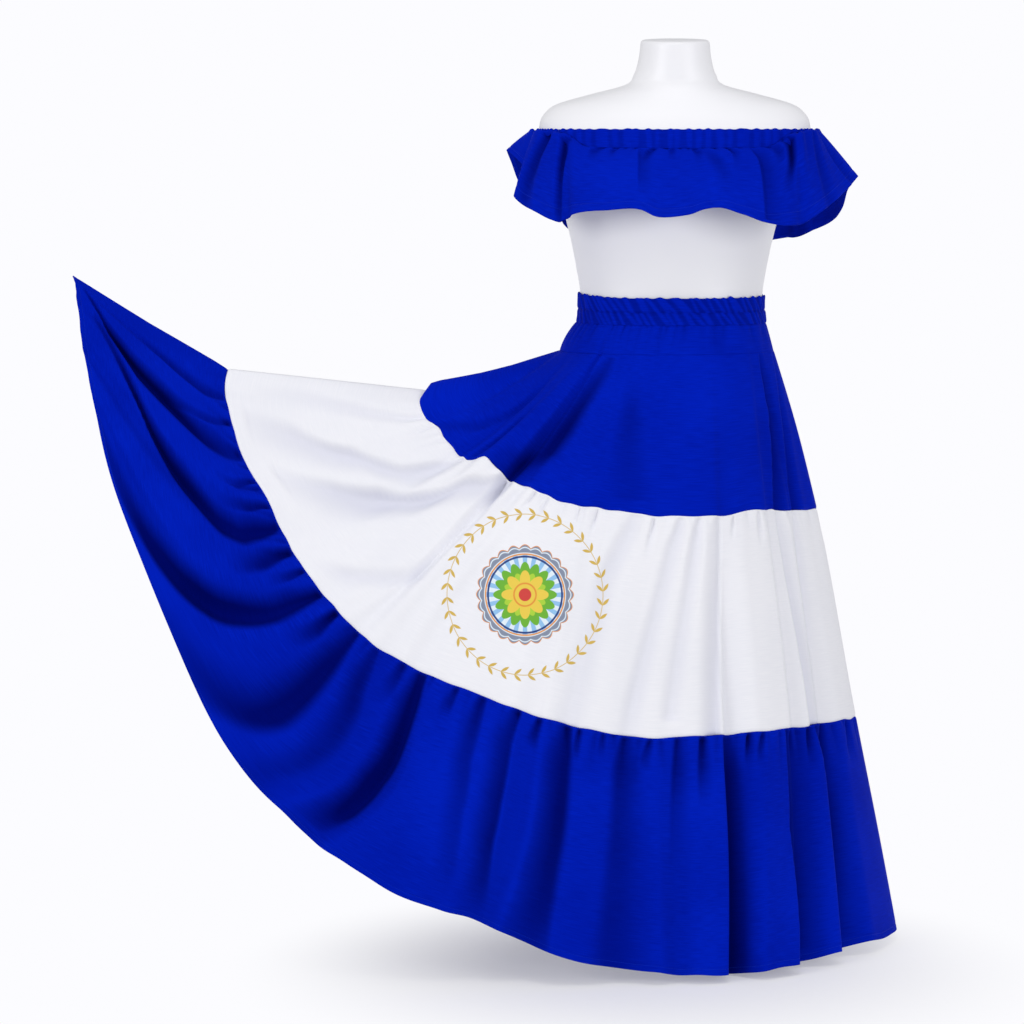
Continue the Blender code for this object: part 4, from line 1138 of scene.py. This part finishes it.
def flounce_sheet(around, levels):
    """The flounce's outer face: its folds, creases and the puckers under its seam."""
    rings, climb = flounce_rings(around)
    straight = climb[None, :, None] * (levels < FLOUNCE_LEVELS[1])[:, None, None]
    smooth = spline_sheet(rings, FLOUNCE_LEVELS, levels, straight)
    swell = FLOUNCE_PUFF * np.interp(levels, *FLOUNCE_SWELL)
    waves = 1.0 + np.cos(2 * np.pi * FLOUNCE_GATHERS * around)
    heights = swell[:, None] * waves * FLOUNCE_GATHER_SHARE
    folds = long_folds(FLOUNCE_FOLDS, FLOUNCE_LEVELS, around, levels)
    hollows = creases(FLOUNCE_CREASES, around, levels) + puckers(FLOUNCE_PUCKERS, around, levels)
    heights += folds + hollows
    heights += ripples(FLOUNCE_RIPPLES, around, levels)
    stitched = (FLOUNCE_LEVELS[-1] - levels) / FLOUNCE_LEVELS[-1] * FLOUNCE_DEPTH - HEM_DEPTH
    heights += groove(stitched, *HEM_GROOVE)[:, None]
    # Painted shade where the flounce tucks under the band; it darkens the colour only and does not move the
    # cloth
    tuck_painted_shade = groove(levels * FLOUNCE_DEPTH / FLOUNCE_LEVELS[-1], TUCK_PAINTED_SHADE, TUCK_WIDTH)[:, None]
    return smooth + outward(smooth) * heights[:, :, None], painted_shade_amount(hollows + tuck_painted_shade, folds)


def make_flounce(blue):
    """The wide flounce of the top, with its raw edge turned in onto the band."""
    levels, places = row_levels(FLOUNCE_LEVELS[0], FLOUNCE_LEVELS[-1], FLOUNCE_DEPTH, FLOUNCE_SPACING)
    around = columns_round(FLOUNCE_RING.front, FLOUNCE_RING.back)
    points, hollow = flounce_sheet(around, levels)
    turned_in = flounce_seam(around, FLOUNCE_TUCK)[0]
    points = np.concatenate([turned_in[None], points])
    hollow = np.concatenate([hollow[:1], hollow])
    places = np.append(FLOUNCE_TUCK - FLOUNCE_STAND, places)
    return sewn_panels(FLOUNCE_RING, places, points, hollow, (blue, blue))


def make_form(finish):
    """The smooth torso and neck, drawn up from its bottom cap ring by ring."""
    turn = np.linspace(0.0, 2 * np.pi, FORM_COLUMNS, endpoint=False)
    sections = [section.height for section in FORM_SECTIONS]
    top = sections[-1]
    heights = np.concatenate([np.linspace(low, high, FORM_ROWS) for low, high in zip(sections, sections[1:])])
    below = heights[heights < top - NECK_RIM_DEPTH]
    heights = np.unique(np.concatenate([below, top - np.array(NECK_RIM_ROWS)]))
    shape = bmesh.new()
    bmesh.ops.create_circle(shape, cap_ends=True, segments=FORM_COLUMNS, radius=1.0)
    place = shape.verts.layers.int.new("place")
    for index, vert in enumerate(shape.verts):
        vert[place] = index
    cap = shape.faces[:]
    for level, height in enumerate(heights):
        roll = rolled(np.array([top - height]), 1.0, NECK_RIM_DEPTH)[0] - 1.0
        ring = form_ring(height, turn, NECK_RIM * roll)
        lean = max(0.0, height - sections[-3]) / (top - sections[-3])
        ring[:, 2] += lean * NECK_TILT * ring[:, 1]
        if level:
            pulled = bmesh.ops.extrude_face_region(shape, geom=cap)["geom"]
            bmesh.ops.delete(shape, geom=cap if level > 1 else [], context="FACES_ONLY")
            cap = [item for item in pulled if isinstance(item, bmesh.types.BMFace)]
        for face in cap:
            for vert in face.verts:
                vert.co = ring[vert[place]]
    bmesh.ops.recalc_face_normals(shape, faces=shape.faces)
    piece = add_piece("form_body", shape, finish)
    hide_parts("dress_form")
    return piece


def add_piece(name, shape, material):
    """A finished bmesh as a smooth object that rides with the part."""
    piece = add_mesh(name, shape, material)
    piece.data.shade_smooth()
    piece.data.set_sharp_from_angle(angle=SHARP_ANGLE)
    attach(piece, "root")
    return piece


def make_stitches(name, row, out, material):
    """A thread along a row of points that rises over the cloth and dips into it at each stitch."""
    steps = np.linalg.norm(np.diff(row, axis=0), axis=1)
    run = np.concatenate([[0.0], np.cumsum(steps)])
    places = np.arange(0.0, run[-1], STITCH_PITCH / STITCH_POINTS)
    middle, up = (
        np.stack([np.interp(places, run, values[:, axis]) for axis in range(3)], axis=-1)
        for values in (row, out)
    )
    up = unit(up)
    across = unit(np.cross(np.gradient(middle, axis=0), up))
    middle += up * (STITCH_RISE * np.cos(2 * np.pi * places / STITCH_PITCH))[:, None]
    turns = np.linspace(0.0, 2 * np.pi, THREAD_SIDES + 1)[:, None, None]
    rings = middle + THREAD_RADIUS * (np.cos(turns) * up + np.sin(turns) * across)
    shape = bmesh.new()
    bmesh.ops.create_grid(shape, x_segments=len(places) - 1, y_segments=THREAD_SIDES, size=1.0)
    for vert, place in zip(shape.verts, rings.reshape(-1, 3)):
        vert.co = place
    bmesh.ops.remove_doubles(shape, verts=shape.verts, dist=WELD)
    bmesh.ops.holes_fill(shape, edges=shape.edges, sides=THREAD_SIDES)
    bmesh.ops.recalc_face_normals(shape, faces=shape.faces)
    piece = add_piece(name, shape, material)


def operator(operation):
    """An arithmetic operator of a number that varies over a surface."""
    return lambda self, other: self.maths(operation, self, other)


class Maths:
    """A number that varies over a surface; arithmetic on it adds Math nodes."""

    def __init__(self, finish, socket):
        self.finish = finish
        self.socket = socket

    def maths(self, operation, *values):
        return self.finish.add("ShaderNodeMath", {"operation": operation}, dict(enumerate(values)))

    def __rsub__(self, other):
        return self.maths("SUBTRACT", other, self)

    def __abs__(self):
        return self.maths("ABSOLUTE", self)

    __add__ = __radd__ = operator("ADD")
    __sub__ = operator("SUBTRACT")
    __mul__ = __rmul__ = operator("MULTIPLY")
    __pow__ = operator("POWER")


def colour(values):
    """A colour for a socket; one that varies over a surface is taken as it is."""
    return values if isinstance(values, Maths) else (*values, 1.0)


class Finish:
    """A material or a world whose nodes all come from one method."""

    def __init__(self, owner):
        owner.use_nodes = True
        self.owner = owner
        self.tree = owner.node_tree

    def add(self, kind, settings, inputs, output=0):
        node = self.tree.nodes.new(kind)
        for name, value in settings.items():
            setattr(node, name, value)
        for name, value in inputs.items():
            self.feed(node.inputs[name], value)
        return Maths(self, node.outputs[output])

    def feed(self, socket, value):
        if isinstance(value, Maths):
            self.tree.links.new(value.socket, socket)
        else:
            socket.default_value = value

    def surface(self, **inputs):
        shader = self.tree.nodes["Principled BSDF"]
        for name, value in inputs.items():
            self.feed(shader.inputs[name.replace("_", " ")], value)

    def object_place(self):
        return self.add("ShaderNodeTexCoord", {}, {}, "Object")

    def cloth_place(self):
        return self.add("ShaderNodeUVMap", {"uv_map": "flat"}, {})

    def axis(self, name):
        """How far a point lies along the object's X, Y or Z."""
        return self.add("ShaderNodeSeparateXYZ", {}, {"Vector": self.object_place()}, name)

    def scaled(self, place, factors):
        return self.add("ShaderNodeVectorMath", {"operation": "MULTIPLY"}, {0: place, 1: factors})

    def noise(self, place, scale, detail=2.0, roughness=0.5):
        sockets = {"Vector": place, "Scale": scale, "Detail": detail, "Roughness": roughness}
        return self.add("ShaderNodeTexNoise", {}, sockets)

    def ramp(self, value, low, high):
        """0 below low, 1 above high, smooth between."""
        settings = {"interpolation_type": "SMOOTHSTEP"}
        sockets = {"Value": value, "From Min": low, "From Max": high}
        return self.add("ShaderNodeMapRange", settings, sockets)

    def mix(self, share, first, second):
        """A colour between two colours."""
        sockets = {0: share, 6: colour(first), 7: colour(second)}
        return self.add("ShaderNodeMix", {"data_type": "RGBA"}, sockets, 2)

    def bump(self, height, distance, strength=1.0):
        return self.add("ShaderNodeBump", {}, {"Height": height, "Distance": distance, "Strength": strength})


def crepe_tones(finish, kind):
    """The crepe's colour, with painted shade in its hollows, and the relief of its slubs and fine crinkle."""
    flat = finish.cloth_place()
    slubs = finish.noise(finish.scaled(flat, SLUBS), 1.0, roughness=SLUB_ROUGHNESS)
    crinkle = finish.noise(finish.scaled(flat, CRINKLE), 1.0)
    clouds = finish.noise(finish.object_place(), CLOUDS)
    tone = finish.ramp(slubs * SLUB_TONE + clouds * (1.0 - SLUB_TONE), *TONE_RANGE)
    # Painted shade: the colour turns towards the dark shade colour by each point's painted shade
    hollow = finish.add("ShaderNodeAttribute", {"attribute_name": "hollow"}, {}, "Fac")
    shade = finish.mix(hollow * kind.hollow_share, finish.mix(tone, kind.shade, kind.light), kind.hollow)
    return shade, slubs * SLUB_RELIEF + crinkle * (1.0 - SLUB_RELIEF), slubs


def make_crepe(name, kind, printed=False):
    """Crepe with horizontal slubs; the front of the white tier carries the printed rosette."""
    finish = Finish(bpy.data.materials.new(name))
    shade, relief, slubs = crepe_tones(finish, kind)
    if printed:
        shade = print_rosette(finish, shade)
    finish.surface(Base_Color=shade, Roughness=kind.roughness + (slubs - 0.5) * ROUGHNESS_SPREAD,
                   Normal=finish.bump(relief, kind.slub_bump))
    finish.surface(Sheen_Weight=kind.sheen, Sheen_Roughness=0.5, Sheen_Tint=colour(kind.gloss_tint),
                   Specular_Tint=colour(kind.gloss_tint), Specular_IOR_Level=kind.gloss)
    return finish.owner


def ring_mask(finish, radius, middle, half_width):
    """1 within half a width of a radius, with a soft edge."""
    distance = abs(radius - middle)
    return 1.0 - finish.ramp(distance, half_width - PRINT_EDGE, half_width + PRINT_EDGE)


def disc_mask(finish, radius, edge):
    return 1.0 - finish.ramp(radius, edge - PRINT_EDGE, edge + PRINT_EDGE)


def wreath_mask(finish, radius, angle):
    """Pairs of small pointed leaves on a thin vine all the way round."""
    pitch = 2 * np.pi * PRINT_RING / WREATH_LEAVES
    turns = angle * (WREATH_LEAVES / (2 * np.pi))
    along = (turns.maths("FRACT", turns) - 0.2) * pitch
    out = abs(radius - PRINT_RING)
    down_leaf = along * np.cos(LEAF_LEAN) + out * np.sin(LEAF_LEAN)
    aside = abs(out * np.cos(LEAF_LEAN) - along * np.sin(LEAF_LEAN))
    half = down_leaf * (2.0 / LEAF_LENGTH) - 1.0
    leaves = finish.ramp((1.0 - half * half) * LEAF_WIDTH - aside, -PRINT_EDGE, PRINT_EDGE)
    vine = 1.0 - finish.ramp(out, VINE_WIDTH - PRINT_EDGE, VINE_WIDTH + PRINT_EDGE)
    return leaves.maths("MAXIMUM", leaves, vine)


def print_rosette(finish, cloth):
    """A flower medallion inside a wreath of small gold leaves, printed flat on the cloth."""
    across = finish.axis("X") - PRINT_PLACE[0]
    up = finish.axis("Z") - PRINT_PLACE[1]
    reach = (across * across + up * up) ** 0.5
    angle = across.maths("ARCTAN2", up, across)
    radius = reach * (1.0 / PRINT_GROWTH)

    def waves(count):
        phase = angle * count
        return phase.maths("COSINE", phase)

    rays = finish.ramp(waves(24.0), -0.2, 0.2)
    petals = abs(waves(12.0)) * 0.0046
    layers = (
        (disc_mask(finish, radius - petals, 0.0575), PRINT_ORANGE),
        (disc_mask(finish, radius - petals, 0.0565), PRINT_SLATE),
        (ring_mask(finish, radius - petals * 0.6, 0.0555, 0.0007), PRINT_PALE),
        (disc_mask(finish, radius, 0.0520), PRINT_PALE),
        (disc_mask(finish, radius, 0.0500) * rays, PRINT_SKY),
        (ring_mask(finish, radius, 0.0500, 0.0009), PRINT_ORANGE),
        (ring_mask(finish, radius, 0.0470, 0.0012), PRINT_NAVY),
        (disc_mask(finish, radius - abs(waves(8.0)) * 0.0085, 0.0320), PRINT_LEAF),
        (disc_mask(finish, radius - abs(waves(8.0)) * 0.0050, 0.0230), PRINT_LIME),
        (disc_mask(finish, radius - abs(waves(4.0)) * 0.0130, 0.0170), PRINT_YELLOW),
        (ring_mask(finish, radius, 0.0140, 0.0010), PRINT_ORANGE),
        (disc_mask(finish, radius, 0.0080), PRINT_RED),
        (wreath_mask(finish, reach, angle), PRINT_GOLD),
    )
    shade = cloth
    for mask, tint in layers:
        shade = finish.mix(mask, shade, tint)
    front = finish.ramp(0.0 - finish.axis("Y"), *PRINT_FRONT)
    return finish.mix(front, cloth, shade)


def make_form_finish():
    """Satin white moulding with a faint unevenness."""
    finish = Finish(bpy.data.materials.new("form_white"))
    clouds = finish.noise(finish.object_place(), 9.0)
    grain = finish.noise(finish.object_place(), 900.0)
    shade = finish.mix(clouds, *FORM_SHADES)
    finish.surface(Base_Color=shade, Roughness=0.36 + clouds * 0.12, Normal=finish.bump(grain, 0.00003, 0.4))
    finish.surface(Coat_Weight=0.08, Coat_Roughness=0.35)
    return finish.owner


def make_metal_finish():
    """Satin grey metal with fine rubbed lines."""
    finish = Finish(bpy.data.materials.new("stand_metal"))
    lines = finish.noise(finish.scaled(finish.object_place(), (240.0, 240.0, 12.0)), 1.0)
    shade = finish.mix(lines, *METAL_SHADES)
    finish.surface(Base_Color=shade, Roughness=0.26 + lines * 0.16, Normal=finish.bump(lines, 0.00003, 0.5))
    finish.surface(Metallic=0.9)
    return finish.owner


def make_thread(name, tint):
    """Sewing thread, a little darker or lighter along its twist."""
    finish = Finish(bpy.data.materials.new(name))
    twist = finish.noise(finish.object_place(), 1800.0, 1.0)
    shade = finish.mix(twist, [value * THREAD_SHADE for value in tint], tint)
    finish.surface(Base_Color=shade, Roughness=0.45 + twist * 0.1)
    finish.surface(Specular_IOR_Level=0.15)
    return finish.owner


def make_floor_finish():
    """Plain pale paper that fades into the white of the room."""
    finish = Finish(bpy.data.materials.new("studio_floor"))
    paper = finish.noise(finish.object_place(), 60.0)
    shade = finish.mix(paper, *FLOOR_SHADES)
    finish.surface(Base_Color=shade, Roughness=0.9, Normal=finish.bump(paper, 0.0002, 0.2))
    finish.surface(Specular_IOR_Level=0.1)
    glow = finish.add("ShaderNodeEmission", {}, {"Color": colour(ROOM_WHITE), "Strength": 1.0})
    body = Maths(finish, finish.tree.nodes["Principled BSDF"].outputs["BSDF"])
    sockets = {0: finish.object_place(), 1: FLOOR_MIDDLE}
    distance = finish.add("ShaderNodeVectorMath", {"operation": "DISTANCE"}, sockets, "Value")
    share = finish.ramp(distance, *FLOOR_FADE) * (1.0 - FLOOR_GLOW) + FLOOR_GLOW
    blend = finish.add("ShaderNodeMixShader", {}, {0: share, 1: body, 2: glow})
    finish.feed(finish.tree.nodes["Material Output"].inputs["Surface"], blend)
    return finish.owner


def make_floor():
    """A wide plain floor that throws no light back on the dress."""
    shape = bmesh.new()
    bmesh.ops.create_circle(shape, cap_ends=True, segments=FLOOR_SEGMENTS, radius=FLOOR_RADIUS)
    floor = add_mesh("floor", shape, make_floor_finish())
    floor.visible_diffuse = False


def make_light(name, place, aim, size, power, tint):
    """A large square softbox that looks at a point."""
    lamp = bpy.data.lights.new(name, "AREA")
    lamp.size = size
    lamp.energy = power
    lamp.color = tint
    light = add_object(name, lamp)
    light.location = place
    light.rotation_euler = (Vector(aim) - Vector(place)).to_track_quat("-Z", "Y").to_euler()


def make_room():
    """White surroundings for the camera, softer for what they light, with a key, a fill and a top light."""
    world = bpy.data.worlds.new("room")
    room = Finish(world)
    seen = room.add("ShaderNodeLightPath", {}, {}, "Is Camera Ray")
    background = world.node_tree.nodes["Background"]
    room.feed(background.inputs["Color"], colour(ROOM_WHITE))
    room.feed(background.inputs["Strength"], seen * (1.0 - ROOM_LIGHT) + ROOM_LIGHT)
    bpy.context.scene.world = world
    for light in LIGHTS:
        make_light(*light)
    bpy.context.scene.view_settings.view_transform = "Standard"


def make_camera():
    """The photograph's viewpoint."""
    lens = bpy.data.cameras.new("camera")
    lens.lens = CAMERA_FOCUS / FRAME_PIXELS * SENSOR
    lens.sensor_width = SENSOR
    camera = add_object("camera", lens)
    camera.location = CAMERA_PLACE
    camera.rotation_euler = (np.radians(90.0 - CAMERA_PITCH), 0.0, 0.0)
    bpy.context.scene.camera = camera


def main():
    make_camera()
    blue = make_crepe("royal_blue_crepe", BLUE_CREPE)
    white = make_crepe("white_crepe", WHITE_CREPE)
    printed = make_crepe("printed_white_crepe", WHITE_CREPE, printed=True)
    thread = make_thread("blue_thread", THREAD_BLUE)
    tiers = skirt_tiers(blue, white, printed)
    flounces = make_flounce(blue)
    neck_band = make_neck_band(blue)
    waistband = make_waistband(blue)
    yoke = make_yoke(blue)
    make_form(make_form_finish())
    for side in ("front", "back"):
        for name, sheets in ((f"skirt_tier_3_{side}", tiers), (f"top_flounce_{side}", flounces)):
            points = sheets[name][1]
            out = panel_outward(points)
            make_stitches(f"{name}_hem_stitches", points[HEM_ROW], out[HEM_ROW], thread)
    metal = make_metal_finish()
    for node in ("stand_base", "stand_pole"):
        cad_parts[node].material_slots[0].material = metal
    sheets = {name: piece for name, (piece, _) in {**tiers, **flounces}.items()}
    sheets.update(top_neck_band=neck_band, skirt_waistband=waistband, skirt_yoke=yoke)
    make_floor()
    make_room()


main()
